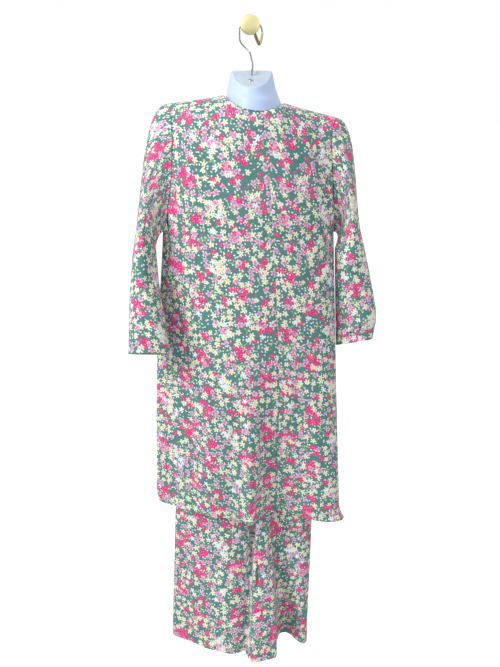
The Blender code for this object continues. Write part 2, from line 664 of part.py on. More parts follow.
def torso_form(material):
    """The whole form: bottom, hips, waist, chest, shoulders, neck and slanted cap."""
    places = ring_places()
    rings = [[form_level(row, place) for place in places] for row in FORM_ROWS]
    rings += [form_ring(rise) for rise in FORM_RISES]
    columns = len(places)
    points = [point for ring in rings for point in ring]
    faces = grid_faces(len(rings), columns, 0, True, False)
    faces.append(tuple(range(columns)))
    top = (len(rings) - 1) * columns
    near_start, near_end = NEAR_COLUMNS.index(BACK_NECK_FROM), NEAR_COLUMNS.index(BACK_NECK_TO)
    far_first = len(NEAR_COLUMNS) + 1
    far_start = far_first + FAR_COLUMNS.index(FRONT_NECK_FROM)
    far_end = far_first + FAR_COLUMNS.index(FRONT_NECK_TO)
    left_middle, right_middle = columns - 1, len(NEAR_COLUMNS)
    faces.append((top, top + left_middle, top + left_middle - 1))
    for step in range(near_start):
        a, b = top + step, top + step + 1
        c, d = top + left_middle - 2 - step, top + left_middle - 1 - step
        faces.append((a, b, c, d))
    faces.append((top + right_middle - 1, top + right_middle, top + right_middle + 1))
    for step in range(len(NEAR_COLUMNS) - 1 - near_end):
        a, b = top + right_middle - 1 - step, top + right_middle - 2 - step
        c, d = top + right_middle + 2 + step, top + right_middle + 1 + step
        faces.append((b, a, d, c))
    foot = list(range(top + near_start, top + near_end + 1)) + list(range(top + far_start, top + far_end + 1))
    near_count, far_count = near_end - near_start + 1, far_end - far_start + 1
    for row in NECK_ROWS:
        start = len(points)
        points += neck_ring(row, near_count, far_count)
        ring = list(range(start, len(points)))
        for index in range(len(ring)):
            after = (index + 1) % len(ring)
            faces.append((foot[index], foot[after], ring[after], ring[index]))
        foot = ring
    faces.append(tuple(foot))
    return add_object("torso_form", points, faces, material)


def cap_point(x, out, above=0.0):
    """A point over the slanted cap of the neck."""
    top = NECK_ROWS[-1]
    normal = unit(np.array((0.0, -top.slope, 1.0)))
    drop = top.back_drop + top.slope * (out - top.back_out)
    return world((x, out, drop)) + normal * above, normal


def neck_screw(material):
    """The domed screw head on the cap."""
    base, normal = cap_point(*CAP_SCREW, above=SEAM_GAP)
    screw = bmesh.new()
    bmesh.ops.create_uvsphere(screw, u_segments=16, v_segments=10, radius=CAP_SCREW_RADIUS)
    below = [vert for vert in screw.verts if vert.co.z < -1e-6]
    bmesh.ops.delete(screw, geom=below, context="VERTS")
    bmesh.ops.holes_fill(screw, edges=screw.edges)
    mesh = bpy.data.meshes.new("neck_screw")
    for vert in screw.verts:
        vert.co.z *= CAP_SCREW_HEIGHT / CAP_SCREW_RADIUS
    bmesh.ops.recalc_face_normals(screw, faces=screw.faces)
    screw.to_mesh(mesh)
    screw.free()
    mesh.shade_smooth()
    mesh.set_sharp_from_angle(angle=math.radians(40))
    mesh.materials.append(material)
    item = bpy.data.objects.new("neck_screw", mesh)
    item.location = tuple(base)
    item.rotation_euler = (math.atan2(-normal[1], normal[2]), 0, 0)
    bpy.context.scene.collection.objects.link(item)


# The skirt

@lru_cache(maxsize=None)
def waist_point(waist_place):
    """Where the skirt's top is held, just outside the form's waist."""
    ahead = form_level(FORM_ROWS[4], waist_place + 0.1) - form_level(FORM_ROWS[4], waist_place - 0.1)
    outwards = unit(np.array((ahead[1], -ahead[0], 0.0)))
    return form_level(FORM_ROWS[4], waist_place) + outwards * SKIRT_WAIST_OUTSET


@lru_cache(maxsize=None)
def skirt_ring(drop):
    """The places of the skirt at this drop."""
    ring = []
    for row in SKIRT_PLACES:
        held = waist_point(row.waist_place)
        stations = (
            (held[0], -held[1]),
            (row.hip_x, row.hip_out),
            (row.mid_x, row.mid_out),
            (row.hem_x, row.hem_out),
        )
        plan = through([np.array(station) for station in stations], SKIRT_DROPS, drop)
        ring.append(np.array((plan[0], plan[1], drop + CHEST_TILT * plan[0])))
    return ring


def skirt_body(place, drop):
    """A point of the skirt round its plan, close on the form at the waist and free below the hips."""
    point = world(round_ring(skirt_ring(drop), place))
    free = (drop - SKIRT_DROPS[0]) / (SKIRT_DROPS[1] - SKIRT_DROPS[0])
    if free >= 1:
        return point
    waist_places = [row.waist_place for row in SKIRT_PLACES] + [float(len(TUNIC_PLACES))]
    waist_place = float(np.interp(place % len(SKIRT_PLACES), range(len(waist_places)), waist_places))
    held = waist_point(waist_place) - world(round_ring(skirt_ring(SKIRT_DROPS[0]), place))
    return point + np.array((held[0], held[1], 0.0)) * (1 - free) ** 2


def skirt_normal(place, drop):
    low, high = max(drop - 0.01, SKIRT_DROPS[0]), min(drop + 0.01, SKIRT_DROPS[-1])
    across = skirt_body(place + 0.03, drop) - skirt_body(place - 0.03, drop)
    upwards = skirt_body(place, low) - skirt_body(place, high)
    return unit(np.cross(across, upwards))


SKIRT_ROWS = (0.0, 0.05, 0.1, 0.155, 0.23, 0.32, 0.42, 0.52, 0.62, 0.7, 0.78, 0.86, 0.93, 1.0)


def skirt_panel(name, places, material):
    """A panel of the skirt between two seams."""
    outer, inner = [], []
    for share in reversed(SKIRT_ROWS):
        drop = float(towards(SKIRT_DROPS[0], SKIRT_DROPS[-1], share))
        outer_row = [skirt_body(place, drop) for place in places]
        normals = [skirt_normal(place, drop) for place in places]
        outer.append(outer_row)
        inner.append([point - normal * CLOTH for point, normal in zip(outer_row, normals)])
    for grid in (outer, inner):
        shortened(grid, True, True, SEAM_GAP / 2)
    return cloth_wall(name, outer, inner, material)


def waistband(material):
    """The plain band that holds the skirt on the form's waist."""
    places = ring_places()
    waist = FORM_ROWS[4]
    outer, inner = [], []
    for drop in (WAIST_DROP + WAISTBAND_HEIGHT, WAIST_DROP):
        row = waist._replace(drop=drop)
        held = [form_level(row, place) for place in places]
        count = len(held)
        outwards = []
        for index in range(count):
            along = held[(index + 1) % count] - held[index - 1]
            outwards.append(unit(np.array((along[1], -along[0], 0.0))))
        inner.append([point + away * SEAM_GAP * 1.4 for point, away in zip(held, outwards)])
        outer.append([point + away * WAISTBAND_WALL for point, away in zip(held, outwards)])
    return cloth_wall("skirt_waistband", outer, inner, material, closed=True)


# The hooks

def tube(name, path, radii, sides, material):
    """A round bar along a path, closed at both ends."""
    points, faces = [], []
    for index, centre in enumerate(path):
        ahead = path[min(index + 1, len(path) - 1)] - path[max(index - 1, 0)]
        ahead = unit(ahead)
        side = unit(np.cross(ahead, np.array((0.31, 0.11, 0.2)))) if index == 0 else side
        side = unit(side - ahead * np.dot(side, ahead))
        other = np.cross(ahead, side)
        for step in range(sides):
            angle = math.tau * step / sides
            points.append(centre + (side * math.cos(angle) + other * math.sin(angle)) * radii[index])
    faces = grid_faces(len(path), sides, 0, True, False)
    faces.append(tuple(range(sides)))
    faces.append(tuple(range((len(path) - 1) * sides, len(path) * sides)))
    return add_object(name, points, faces, material)


def wire_hook(material):
    """The form's hook: an arc over the wall hook's stem and an S-shaped shank down to the cap."""
    crown = STEM_RADIUS + SEAM_GAP + WIRE_RADIUS
    height = WIRE_ARC_DROP + crown
    route = [np.array((WIRE_ARC_X + WIRE_ARC_HALF_WIDTH + 0.0022, WIRE_ARC_OUT, 0.0205))]
    for step in range(13):
        angle = math.pi * step / 12
        route.append(
            np.array(
                (
                    WIRE_ARC_X + WIRE_ARC_HALF_WIDTH * math.cos(angle),
                    WIRE_ARC_OUT,
                    WIRE_ARC_DROP - height * math.sin(angle),
                )
            )
        )
    route += [np.array(point) for point in WIRE_ROUTE]
    above, normal = cap_point(*WIRE_CAP_POINT, above=0.012)
    foot, normal = cap_point(*WIRE_CAP_POINT, above=SEAM_GAP)
    route += [np.array((point[0], -point[1], -point[2])) for point in (above, foot)]
    stations = tuple(range(len(route)))
    samples = np.linspace(0, len(route) - 1, 52)
    path = [world(through(route, stations, sample)) for sample in samples]
    radii = [WIRE_RADIUS] * len(path)
    radii[0] = WIRE_RADIUS * 0.7
    return tube("wire_hook", path, radii, 8, material)


def wall_hook(material):
    """Plate, stem and round knob turned in one, joined with the lower prong."""
    sides = 32
    points = []
    for radius, out in WALL_HOOK_PROFILE:
        for step in range(sides):
            angle = math.tau * step / sides
            points.append(np.array((radius * math.cos(angle), -out, radius * math.sin(angle))))
    faces = grid_faces(len(WALL_HOOK_PROFILE), sides, 0, True, False)
    faces.append(tuple(range(sides)))
    faces.append(tuple(range(len(points) - sides, len(points))))
    hook = add_object("wall_hook", points, faces, material)
    stations = tuple(range(len(PRONG_ROUTE)))
    samples = np.linspace(0, len(PRONG_ROUTE) - 1, 22)
    route = [through([np.array(point) for point in PRONG_ROUTE], stations, sample) for sample in samples]
    prong = tube("prong_cutter", [world(point) for point in route], [point[3] for point in route], 10, material)
    prong.hide_render = True
    prong.display_type = "WIRE"
    join = hook.modifiers.new("prong", "BOOLEAN")
    join.operation = "UNION"
    join.object = prong
    join.solver = "EXACT"


# Materials

def make_material(name, colour, roughness, metallic=0.0):
    material = bpy.data.materials.new(name)
    material.use_nodes = True
    shader = material.node_tree.nodes["Principled BSDF"]
    shader.inputs["Base Color"].default_value = (*colour, 1.0)
    shader.inputs["Roughness"].default_value = roughness
    shader.inputs["Metallic"].default_value = metallic
    material.diffuse_color = (*colour, 1.0)
    return material


def main():
    for item in list(bpy.data.objects):
        bpy.data.objects.remove(item, do_unlink=True)
    cloth = make_material("flowered_cloth", (0.10, 0.32, 0.26), 0.75)
    plastic = make_material("pale_blue_plastic", (0.60, 0.74, 0.90), 0.35)
    chrome = make_material("bright_wire", (0.75, 0.75, 0.77), 0.2, 1.0)
    brass = make_material("brass", (0.83, 0.68, 0.28), 0.35, 1.0)

    heights = list(TUNIC_HEIGHTS) + [1 + rise for rise in YOKE_RISES]
    back_left = [place for place in NEAR_COLUMNS if place <= BACK_SEAM]
    back_right = [place for place in NEAR_COLUMNS if place >= BACK_SEAM]
    panel("tunic_back_left", back_left, heights, True, cloth)
    panel("tunic_back_right", back_right, heights, True, cloth)
    panel("tunic_front", FAR_COLUMNS, heights, False, cloth)
    sleeve("sleeve_left", "left", cloth)
    sleeve("sleeve_right", "right", cloth)

    left_corner = columns_between(SKIRT_LEFT_SEAM, 1, 0.25)
    skirt_panel("skirt_back_left", left_corner + columns_between(1.5, SKIRT_BACK_SEAM, 0.5), cloth)
    skirt_panel("skirt_back_right", columns_between(SKIRT_BACK_SEAM, SKIRT_RIGHT_SEAM, 0.5), cloth)
    skirt_panel("skirt_front", columns_between(SKIRT_RIGHT_SEAM, len(SKIRT_PLACES), 0.25), cloth)
    waistband(cloth)

    torso_form(plastic)
    neck_screw(chrome)
    wire_hook(chrome)
    wall_hook(brass)


main()
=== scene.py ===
# Baju kurung set: the looks of a flowered tunic and skirt on a hanging torso form. The cloth is a
# thin shell on each solid's form, with its folds, print, stitching and wrong side. Metres, +Z up.
# Tables give x to the right, out (distance from the wall) and drop (below the origin).
import math
from collections import namedtuple
from functools import lru_cache

import bmesh
import bpy
import numpy as np
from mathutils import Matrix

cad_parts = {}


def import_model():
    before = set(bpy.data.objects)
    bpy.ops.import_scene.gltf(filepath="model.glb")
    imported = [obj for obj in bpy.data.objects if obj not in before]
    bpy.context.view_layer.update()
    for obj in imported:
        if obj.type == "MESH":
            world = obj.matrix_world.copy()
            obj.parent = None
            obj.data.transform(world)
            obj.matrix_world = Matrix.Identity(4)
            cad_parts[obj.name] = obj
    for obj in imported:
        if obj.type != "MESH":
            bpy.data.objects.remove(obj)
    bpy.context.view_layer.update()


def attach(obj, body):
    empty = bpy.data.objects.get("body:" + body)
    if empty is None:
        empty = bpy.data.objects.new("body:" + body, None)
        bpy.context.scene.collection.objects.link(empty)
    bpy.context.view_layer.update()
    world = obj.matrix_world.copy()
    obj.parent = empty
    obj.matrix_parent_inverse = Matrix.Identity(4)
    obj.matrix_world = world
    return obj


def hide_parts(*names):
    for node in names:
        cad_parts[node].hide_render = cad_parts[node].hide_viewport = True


bl_info = {
    "name": "Baju kurung set",
    "version": (1, 0, 0),
    "blender": (4, 5, 0),
    "location": "3D View > Sidebar > Garment",
    "description": "Builds a flowered tunic and skirt on a hanging torso form",
    "category": "Object",
}

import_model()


# Edges sharper than this stay sharp
HARD_EDGE_ANGLE = math.radians(40)
CLOTH_EDGE_ANGLE = math.radians(60)

# Driving dimensions
CLOTH = 0.0016
SEAM_GAP = 0.0003
ARMHOLE_GAP = 0.0010
CHEST_DROP = 0.4345
CHEST_TILT = 0.0247
SHOULDER_OUT = 0.060
FORM_REST_GAP = 0.0004
FORM_CHEST_GAP = 0.0055
FORM_NECK_GAP = 0.0030
WAIST_DROP = 0.545
WAISTBAND_HEIGHT = 0.030
WAISTBAND_WALL = 0.002

# Shoulder and neck points of the tunic
SHOULDER_LEFT = (-0.1805, SHOULDER_OUT, 0.1620)
SHOULDER_RIGHT = (0.1870, SHOULDER_OUT, 0.1903)
NECK_LEFT = (-0.0550, SHOULDER_OUT, 0.1453)
NECK_RIGHT = (0.0723, SHOULDER_OUT, 0.1610)
BACK_NECK_DEPTH = 0.087
BACK_NECK_DROP = 0.022
FRONT_NECK_DEPTH = 0.029
FRONT_NECK_DROP = 0.075
BACK_SEAM_NECK_ANGLE = math.radians(109)

# Plan of the tunic: places round the body, from the left side over the back to the right and round
TunicPlace = namedtuple("TunicPlace", "name chest_x chest_out hip_x hip_out hem_x hem_out hem_drop")
TUNIC_PLACES = (
    TunicPlace("left side", -0.192, 0.065, -0.2195, 0.050, -0.2345, 0.033, 1.1210),
    TunicPlace("left side seam", -0.180, 0.093, -0.1970, 0.073, -0.197, 0.055, 1.1235),
    TunicPlace("back left", -0.125, 0.1265, -0.1150, 0.117, -0.115, 0.093, 1.1275),
    TunicPlace("back left fold", -0.085, 0.1370, -0.0600, 0.135, -0.055, 0.109, 1.1300),
    TunicPlace("middle fold rise", -0.045, 0.1435, -0.0200, 0.141, -0.022, 0.119, 1.1315),
    TunicPlace("middle fold", -0.012, 0.1455, 0.0080, 0.140, 0.002, 0.134, 1.1335),
    TunicPlace("middle fold fall", 0.020, 0.1455, 0.0340, 0.134, 0.030, 0.093, 1.1340),
    TunicPlace("centre back seam", 0.051, 0.1420, 0.0670, 0.125, 0.066, 0.075, 1.1270),
    TunicPlace("back right", 0.076, 0.1375, 0.1000, 0.119, 0.110, 0.079, 1.1360),
    TunicPlace("right fold rise", 0.102, 0.1315, 0.1400, 0.112, 0.155, 0.099, 1.1405),
    TunicPlace("right fold", 0.150, 0.1110, 0.1740, 0.102, 0.193, 0.104, 1.1420),
    TunicPlace("right side", 0.182, 0.077, 0.1970, 0.079, 0.217, 0.089, 1.1440),
    TunicPlace("right side seam", 0.184, 0.050, 0.1990, 0.051, 0.216, 0.053, 1.1430),
    TunicPlace("front right edge", 0.140, 0.0270, 0.1400, 0.0250, 0.155, 0.0230, 1.1400),
    TunicPlace("front right", 0.050, 0.0235, 0.0500, 0.0215, 0.050, 0.0200, 1.1355),
    TunicPlace("front left", -0.055, 0.0235, -0.0550, 0.0215, -0.055, 0.0200, 1.1305),
    TunicPlace("front left edge", -0.152, 0.0310, -0.1720, 0.0270, -0.180, 0.0220, 1.1250),
)
TUNIC_HIP_SHARE = 0.48

# How the last bit of the tunic's sides turns sideways above the hem
HemTurn = namedtuple("HemTurn", "place half_width turn")
HEM_TURNS = (HemTurn(0.0, 1.2, 0.0070), HemTurn(11.4, 1.8, 0.0110))
HEM_TURN_LENGTH = 0.035
LEFT_SEAM, BACK_SEAM, RIGHT_SEAM = 1, 7, 12
LEFT_SEAM_AGAIN = LEFT_SEAM + len(TUNIC_PLACES)
BACK_NECK_FROM, BACK_NECK_TO = 4, 9
FRONT_NECK_FROM, FRONT_NECK_TO = 13.5, 15.75

# Armholes from the shoulder point down to the armpit: rise is the share of the armhole's height
ArmholeRow = namedtuple("ArmholeRow", "rise left_x left_near left_far right_x right_near right_far")
ARMHOLE_ROWS = (
    ArmholeRow(1.00, -0.1805, 0.060, 0.060, 0.1870, 0.060, 0.060),
    ArmholeRow(0.92, -0.1690, 0.092, 0.050, 0.1770, 0.083, 0.040),
    ArmholeRow(0.77, -0.1650, 0.107, 0.046, 0.1755, 0.092, 0.033),
    ArmholeRow(0.54, -0.1670, 0.110, 0.048, 0.1790, 0.090, 0.031),
    ArmholeRow(0.32, -0.1730, 0.106, 0.058, 0.1840, 0.082, 0.034),
    ArmholeRow(0.11, -0.1815, 0.100, 0.080, 0.1865, 0.066, 0.040),
    ArmholeRow(0.00, -0.1800, 0.093, 0.093, 0.1840, 0.050, 0.050),
)

# Sections of the sleeves below the armpit. Turn is about the vertical, in degrees, and the slopes
# say how the ring's drop changes outwards from the wall and to the right.
SleeveRow = namedtuple("SleeveRow", "drop x out half_x half_out turn slope_out slope_x")
LEFT_SLEEVE = (
    SleeveRow(0.479, -0.2337, 0.100, 0.0256, 0.0540, 0, -0.08, 0.0),
    SleeveRow(0.560, -0.2330, 0.120, 0.0330, 0.0500, 0, -0.16, 0.0),
    SleeveRow(0.630, -0.2275, 0.138, 0.0410, 0.0420, 0, -0.26, 0.0),
    SleeveRow(0.6980, -0.2250, 0.150, 0.0465, 0.0350, 0, -0.37, 0.0),
)
RIGHT_SLEEVE = (
    SleeveRow(0.479, 0.2262, 0.056, 0.0338, 0.0500, 4, 0.0, -0.05),
    SleeveRow(0.560, 0.2372, 0.053, 0.0415, 0.0420, 8, -0.05, -0.10),
    SleeveRow(0.640, 0.2460, 0.052, 0.0470, 0.0370, 10, -0.12, -0.16),
    SleeveRow(0.6985, 0.2445, 0.052, 0.0430, 0.0340, 10, -0.25, -0.19),
)

# Troughs of the sleeves: along is the share of the sleeve's length, round is in twelfths from the
# outer edge over the visible side
Trough = namedtuple("Trough", "name along_from along_to round_from round_to width depth")
LEFT_TROUGHS = (
    Trough("underarm crease", 0.10, 0.48, 1.8, 4.6, 0.80, 0.0055),
    Trough("inner elbow hollow", 0.36, 0.74, 4.4, 4.0, 0.90, 0.0035),
)
RIGHT_TROUGHS = (
    Trough("underarm crease", 0.14, 0.54, 2.2, 4.6, 0.80, 0.0055),
    Trough("forearm crease", 0.50, 0.80, 4.2, 3.6, 0.80, 0.0040),
    Trough("cuff tuck", 0.84, 0.98, 4.6, 1.4, 0.80, 0.0040),
)

# Plan of the skirt: waist_place is the place round the waist, as on the tunic's plan
SkirtPlace = namedtuple("SkirtPlace", "name waist_place hip_x hip_out mid_x mid_out hem_x hem_out")
SKIRT_PLACES = (
    SkirtPlace("left side", 0.0, -0.165, 0.060, -0.187, 0.050, -0.2030, 0.050),
    SkirtPlace("back left edge", 1.3, -0.150, 0.085, -0.160, 0.070, -0.1670, 0.068),
    SkirtPlace("back left", 2.2, -0.110, 0.108, -0.110, 0.081, -0.1105, 0.101),
    SkirtPlace("back left swell", 3.2, -0.050, 0.121, -0.050, 0.091, -0.0473, 0.122),
    SkirtPlace("centre back seam", 4.6, -0.005, 0.125, -0.004, 0.075, -0.0171, 0.111),
    SkirtPlace("valley", 5.0, 0.006, 0.126, 0.006, 0.058, -0.0100, 0.122),
    SkirtPlace("pleat left edge", 5.5, 0.018, 0.126, 0.015, 0.080, 0.0063, 0.152),
    SkirtPlace("pleat front", 6.0, 0.030, 0.126, 0.030, 0.082, 0.0327, 0.145),
    SkirtPlace("pleat front right", 6.6, 0.045, 0.125, 0.046, 0.075, 0.0599, 0.135),
    SkirtPlace("pleat right edge", 7.0, 0.055, 0.123, 0.054, 0.066, 0.0683, 0.124),
    SkirtPlace("pleat return", 7.3, 0.062, 0.121, 0.059, 0.060, 0.0690, 0.080),
    SkirtPlace("hollow", 7.7, 0.070, 0.119, 0.067, 0.058, 0.0775, 0.038),
    SkirtPlace("hollow right", 8.3, 0.088, 0.114, 0.085, 0.062, 0.1008, 0.034),
    SkirtPlace("back right", 9.2, 0.115, 0.103, 0.108, 0.068, 0.1245, 0.066),
    SkirtPlace("back right edge", 10.0, 0.138, 0.088, 0.130, 0.070, 0.1413, 0.074),
    SkirtPlace("right side", 11.3, 0.158, 0.062, 0.1555, 0.050, 0.1480, 0.055),
    SkirtPlace("front right", 13.0, 0.130, 0.032, 0.130, 0.029, 0.1300, 0.022),
    SkirtPlace("front middle", 14.2, 0.000, 0.027, -0.030, 0.027, -0.0300, 0.017),
    SkirtPlace("front left", 15.2, -0.120, 0.031, -0.120, 0.028, -0.1200, 0.018),
    SkirtPlace("front left corner", 16.2, -0.155, 0.044, -0.172, 0.034, -0.1900, 0.027),
)
SKIRT_DROPS = (WAIST_DROP + WAISTBAND_HEIGHT + SEAM_GAP, 0.720, 1.149, 1.508)
SKIRT_LEFT_SEAM, SKIRT_BACK_SEAM, SKIRT_RIGHT_SEAM = 0, 4, 15
SKIRT_WAIST_OUTSET = 0.0042

# Levels of the form below the chest, as shares of the chest's width and depth
FormRow = namedtuple("FormRow", "drop width depth")
FORM_ROWS = (
    FormRow(0.800, 0.74, 0.62),
    FormRow(0.796, 0.77, 0.65),
    FormRow(0.720, 0.79, 0.68),
    FormRow(0.640, 0.74, 0.67),
    FormRow(WAIST_DROP + WAISTBAND_HEIGHT + 0.006, 0.70, 0.68),
    FormRow(WAIST_DROP - 0.004, 0.70, 0.68),
    FormRow(0.500, 0.80, 0.80),
)
FORM_BACK_OUT = 0.037

# Rings of the form's neck, from its foot to the slanted cap
NeckRow = namedtuple("NeckRow", "x half_width back_out depth far_depth back_drop slope tilt")
NECK_ROWS = (
    NeckRow(0.0075, 0.0565, 0.0590, 0.0810, 0.0110, 0.1470, 0.05, 0.11),
    NeckRow(0.0040, 0.0530, 0.0520, 0.0840, 0.0090, 0.1330, 0.20, 0.05),
    NeckRow(0.0030, 0.0485, 0.0480, 0.0835, 0.0070, 0.1150, 0.33, 0.0),
    NeckRow(0.0036, 0.0455, 0.0455, 0.0835, 0.0055, 0.1000, 0.42, 0.0),
    NeckRow(0.0040, 0.0440, 0.0450, 0.0830, 0.0050, 0.0955, 0.435, 0.0),
    NeckRow(0.0040, 0.0425, 0.0465, 0.0800, 0.0045, 0.0945, 0.435, 0.0),
)
CAP_SCREW = (0.0010, 0.0930)

# Hooks
WIRE_RADIUS = 0.0016
STEM_RADIUS = 0.0055
WIRE_ARC_OUT = 0.022
WIRE_ARC_DROP = 0.009
WIRE_ARC_X = 0.0015
WIRE_ARC_HALF_WIDTH = 0.0240
WIRE_CAP_POINT = (0.0040, 0.0670)
WIRE_ROUTE = (
    (-0.0214, 0.022, 0.031),
    (-0.0107, 0.025, 0.045),
    (-0.0006, 0.031, 0.056),
    (0.0032, 0.040, 0.069),
    (0.0058, 0.051, 0.082),
    (0.0052, 0.060, 0.093),
)
KNOB_RADIUS = 0.0208
WALL_HOOK_PROFILE = (
    # radius, out
    (0.0160, 0.0000),
    (0.0160, 0.0030),
    (0.0145, 0.0045),
    (0.0075, 0.0060),
    (STEM_RADIUS, 0.0100),
    (STEM_RADIUS, 0.0320),
    (0.0090, 0.0345),
    (KNOB_RADIUS - 0.0015, 0.0350),
    (KNOB_RADIUS, 0.0370),
    (KNOB_RADIUS, 0.0395),
    (KNOB_RADIUS - 0.0012, 0.0415),
    (KNOB_RADIUS - 0.0035, 0.0422),
    (0.0080, 0.0430),
)
PRONG_ROUTE = (
    # x, out, drop, radius
    (0.0050, 0.0020, 0.0080, 0.0030),
    (0.0095, 0.0080, 0.0140, 0.0033),
    (0.0140, 0.0160, 0.0260, 0.0034),
    (0.0180, 0.0240, 0.0355, 0.0034),
    (0.0205, 0.0310, 0.0380, 0.0032),
    (0.0230, 0.0375, 0.0330, 0.0028),
    (0.0250, 0.0425, 0.0240, 0.0025),
    (0.0262, 0.0450, 0.0160, 0.0025),
)


def world(point):
    """A point given by x, out and drop, as x, y, z."""
    return np.array((point[0], -point[1], -point[2]))


def hermite(a, b, slope_a, slope_b, at):
    """The cubic from a to b with these slopes, at a share from 0 to 1."""
    squared, cubed = at * at, at * at * at
    return (
        (2 * cubed - 3 * squared + 1) * a
        + (cubed - 2 * squared + at) * slope_a
        + (3 * squared - 2 * cubed) * b
        + (cubed - squared) * slope_b
    )


def round_ring(points, place):
    """The closed smooth curve through the points, at a place counted in points."""
    count = len(points)
    first = math.floor(place)
    before, a, b, after = (points[(first + step) % count] for step in (-1, 0, 1, 2))
    return hermite(a, b, (b - before) / 2, (after - a) / 2, place - first)


def through(points, stations, at):
    """The open smooth curve through the points, at a station between the first and the last."""
    last = len(points) - 1
    first = min(max(int(np.searchsorted(stations, at, side="right")) - 1, 0), last - 1)
    span = stations[first + 1] - stations[first]

    def slope(index):
        low, high = max(index - 1, 0), min(index + 1, last)
        return (points[high] - points[low]) / (stations[high] - stations[low]) * span

    share = (at - stations[first]) / span
    return hermite(points[first], points[first + 1], slope(first), slope(first + 1), share)


def towards(a, b, share):
    return np.asarray(a) * (1 - share) + np.asarray(b) * share


@lru_cache(maxsize=None)
def tunic_ring(share):
    """The places of the body at this share of its length."""
    ring = []
    for row in TUNIC_PLACES:
        chest = np.array((row.chest_x, row.chest_out, CHEST_DROP + CHEST_TILT * row.chest_x))
        hem = np.array((row.hem_x, row.hem_out, row.hem_drop))
        hip = np.array((row.hip_x, row.hip_out, towards(chest[2], hem[2], TUNIC_HIP_SHARE)))
        ring.append(through((chest, hip, hem), (0, TUNIC_HIP_SHARE, 1), share))
    above_hem = (1 - share) * (TUNIC_PLACES[0].hem_drop - CHEST_DROP)
    near_hem = max(0.0, 1 - above_hem / HEM_TURN_LENGTH) ** 2
    for turn in HEM_TURNS:
        for index in range(len(ring)):
            away = abs(index - turn.place) / turn.half_width
            if away < 1:
                ring[index] = ring[index] + np.array((turn.turn * near_hem * (1 - away**2), 0.0, 0.0))
    return ring


def tunic_body(place, share):
    """A point of the body, share 0 at the armpits' level and 1 at the hem."""
    return round_ring(tunic_ring(share), place)


@lru_cache(maxsize=None)
def armhole(side, round_place):
    """The armhole's loop, in twelfths from the shoulder down the visible side and up the other."""
    near = round_place <= 6
    step = round_place if near else 12 - round_place
    names = [f"{side}_x", f"{side}_near" if near else f"{side}_far"]
    top = SHOULDER_LEFT[2] if side == "left" else SHOULDER_RIGHT[2]
    seam = LEFT_SEAM if side == "left" else RIGHT_SEAM
    bottom = tunic_body(seam, 0)[2]
    loop = []
    for index in range(-1, 8):
        row = ARMHOLE_ROWS[abs(index) if index < 7 else 12 - index]
        over = index in (-1, 7)
        other = f"{side}_far" if near else f"{side}_near"
        out = getattr(row, other if over else names[1])
        loop.append(np.array((getattr(row, names[0]), out, towards(bottom, top, row.rise))))
    return through(loop, tuple(range(-1, 8)), step)


@lru_cache(maxsize=None)
def armhole_rises():
    """How high the armhole's loop is at steps from the shoulder to the armpit."""
    rises = [np.array(row.rise) for row in ARMHOLE_ROWS]
    return [float(through(rises, tuple(range(7)), step)) for step in np.linspace(0, 6, 121)]


@lru_cache(maxsize=None)
def armhole_at_rise(side, near, rise):
    """The armhole's point at this share of its height."""
    step = float(np.interp(rise, armhole_rises()[::-1], np.linspace(6, 0, 121)))
    return armhole(side, step if near else 12 - step)


def neckline(angle, depth, fall):
    """The neck edge from the left shoulder, over the visible side when depth is positive."""
    middle = towards(NECK_LEFT, NECK_RIGHT, 0.5)
    share = (1 - math.cos(angle)) / 2
    drop = towards(NECK_LEFT, NECK_RIGHT, share)[2] + fall * math.sin(angle) ** 2
    half = (NECK_RIGHT[0] - NECK_LEFT[0]) / 2
    return np.array((middle[0] - half * math.cos(angle), SHOULDER_OUT + depth * math.sin(angle), drop))


def top_edge(place):
    """The shoulder and neck edge of the tunic above this place."""
    if place <= BACK_NECK_FROM:
        return towards(SHOULDER_LEFT, NECK_LEFT, (place - LEFT_SEAM) / (BACK_NECK_FROM - LEFT_SEAM))
    if place <= BACK_SEAM:
        share = (place - BACK_NECK_FROM) / (BACK_SEAM - BACK_NECK_FROM)
        return neckline(BACK_SEAM_NECK_ANGLE * share, BACK_NECK_DEPTH, BACK_NECK_DROP)
    if place <= BACK_NECK_TO:
        share = (place - BACK_SEAM) / (BACK_NECK_TO - BACK_SEAM)
        angle = towards(BACK_SEAM_NECK_ANGLE, math.pi, share)
        return neckline(float(angle), BACK_NECK_DEPTH, BACK_NECK_DROP)
    if place <= RIGHT_SEAM:
        return towards(NECK_RIGHT, SHOULDER_RIGHT, (place - BACK_NECK_TO) / (RIGHT_SEAM - BACK_NECK_TO))
    if place <= FRONT_NECK_FROM:
        share = (place - RIGHT_SEAM) / (FRONT_NECK_FROM - RIGHT_SEAM)
        return towards(SHOULDER_RIGHT, NECK_RIGHT, share)
    if place <= FRONT_NECK_TO:
        share = (FRONT_NECK_TO - place) / (FRONT_NECK_TO - FRONT_NECK_FROM)
        return neckline(math.pi * share, -FRONT_NECK_DEPTH, FRONT_NECK_DROP)
    share = (place - FRONT_NECK_TO) / (LEFT_SEAM_AGAIN - FRONT_NECK_TO)
    return towards(NECK_LEFT, SHOULDER_LEFT, share)


def shoulder_fullness(place, near):
    """The power of the curve over the shoulder: rounder at its end, fuller beside the back neck."""
    stations = (LEFT_SEAM, BACK_NECK_FROM, BACK_NECK_TO, RIGHT_SEAM)
    share = float(np.interp(place, stations, (0, 1, 1, 0))) if near else 0.0
    return 2.6 + 1.8 * share**2


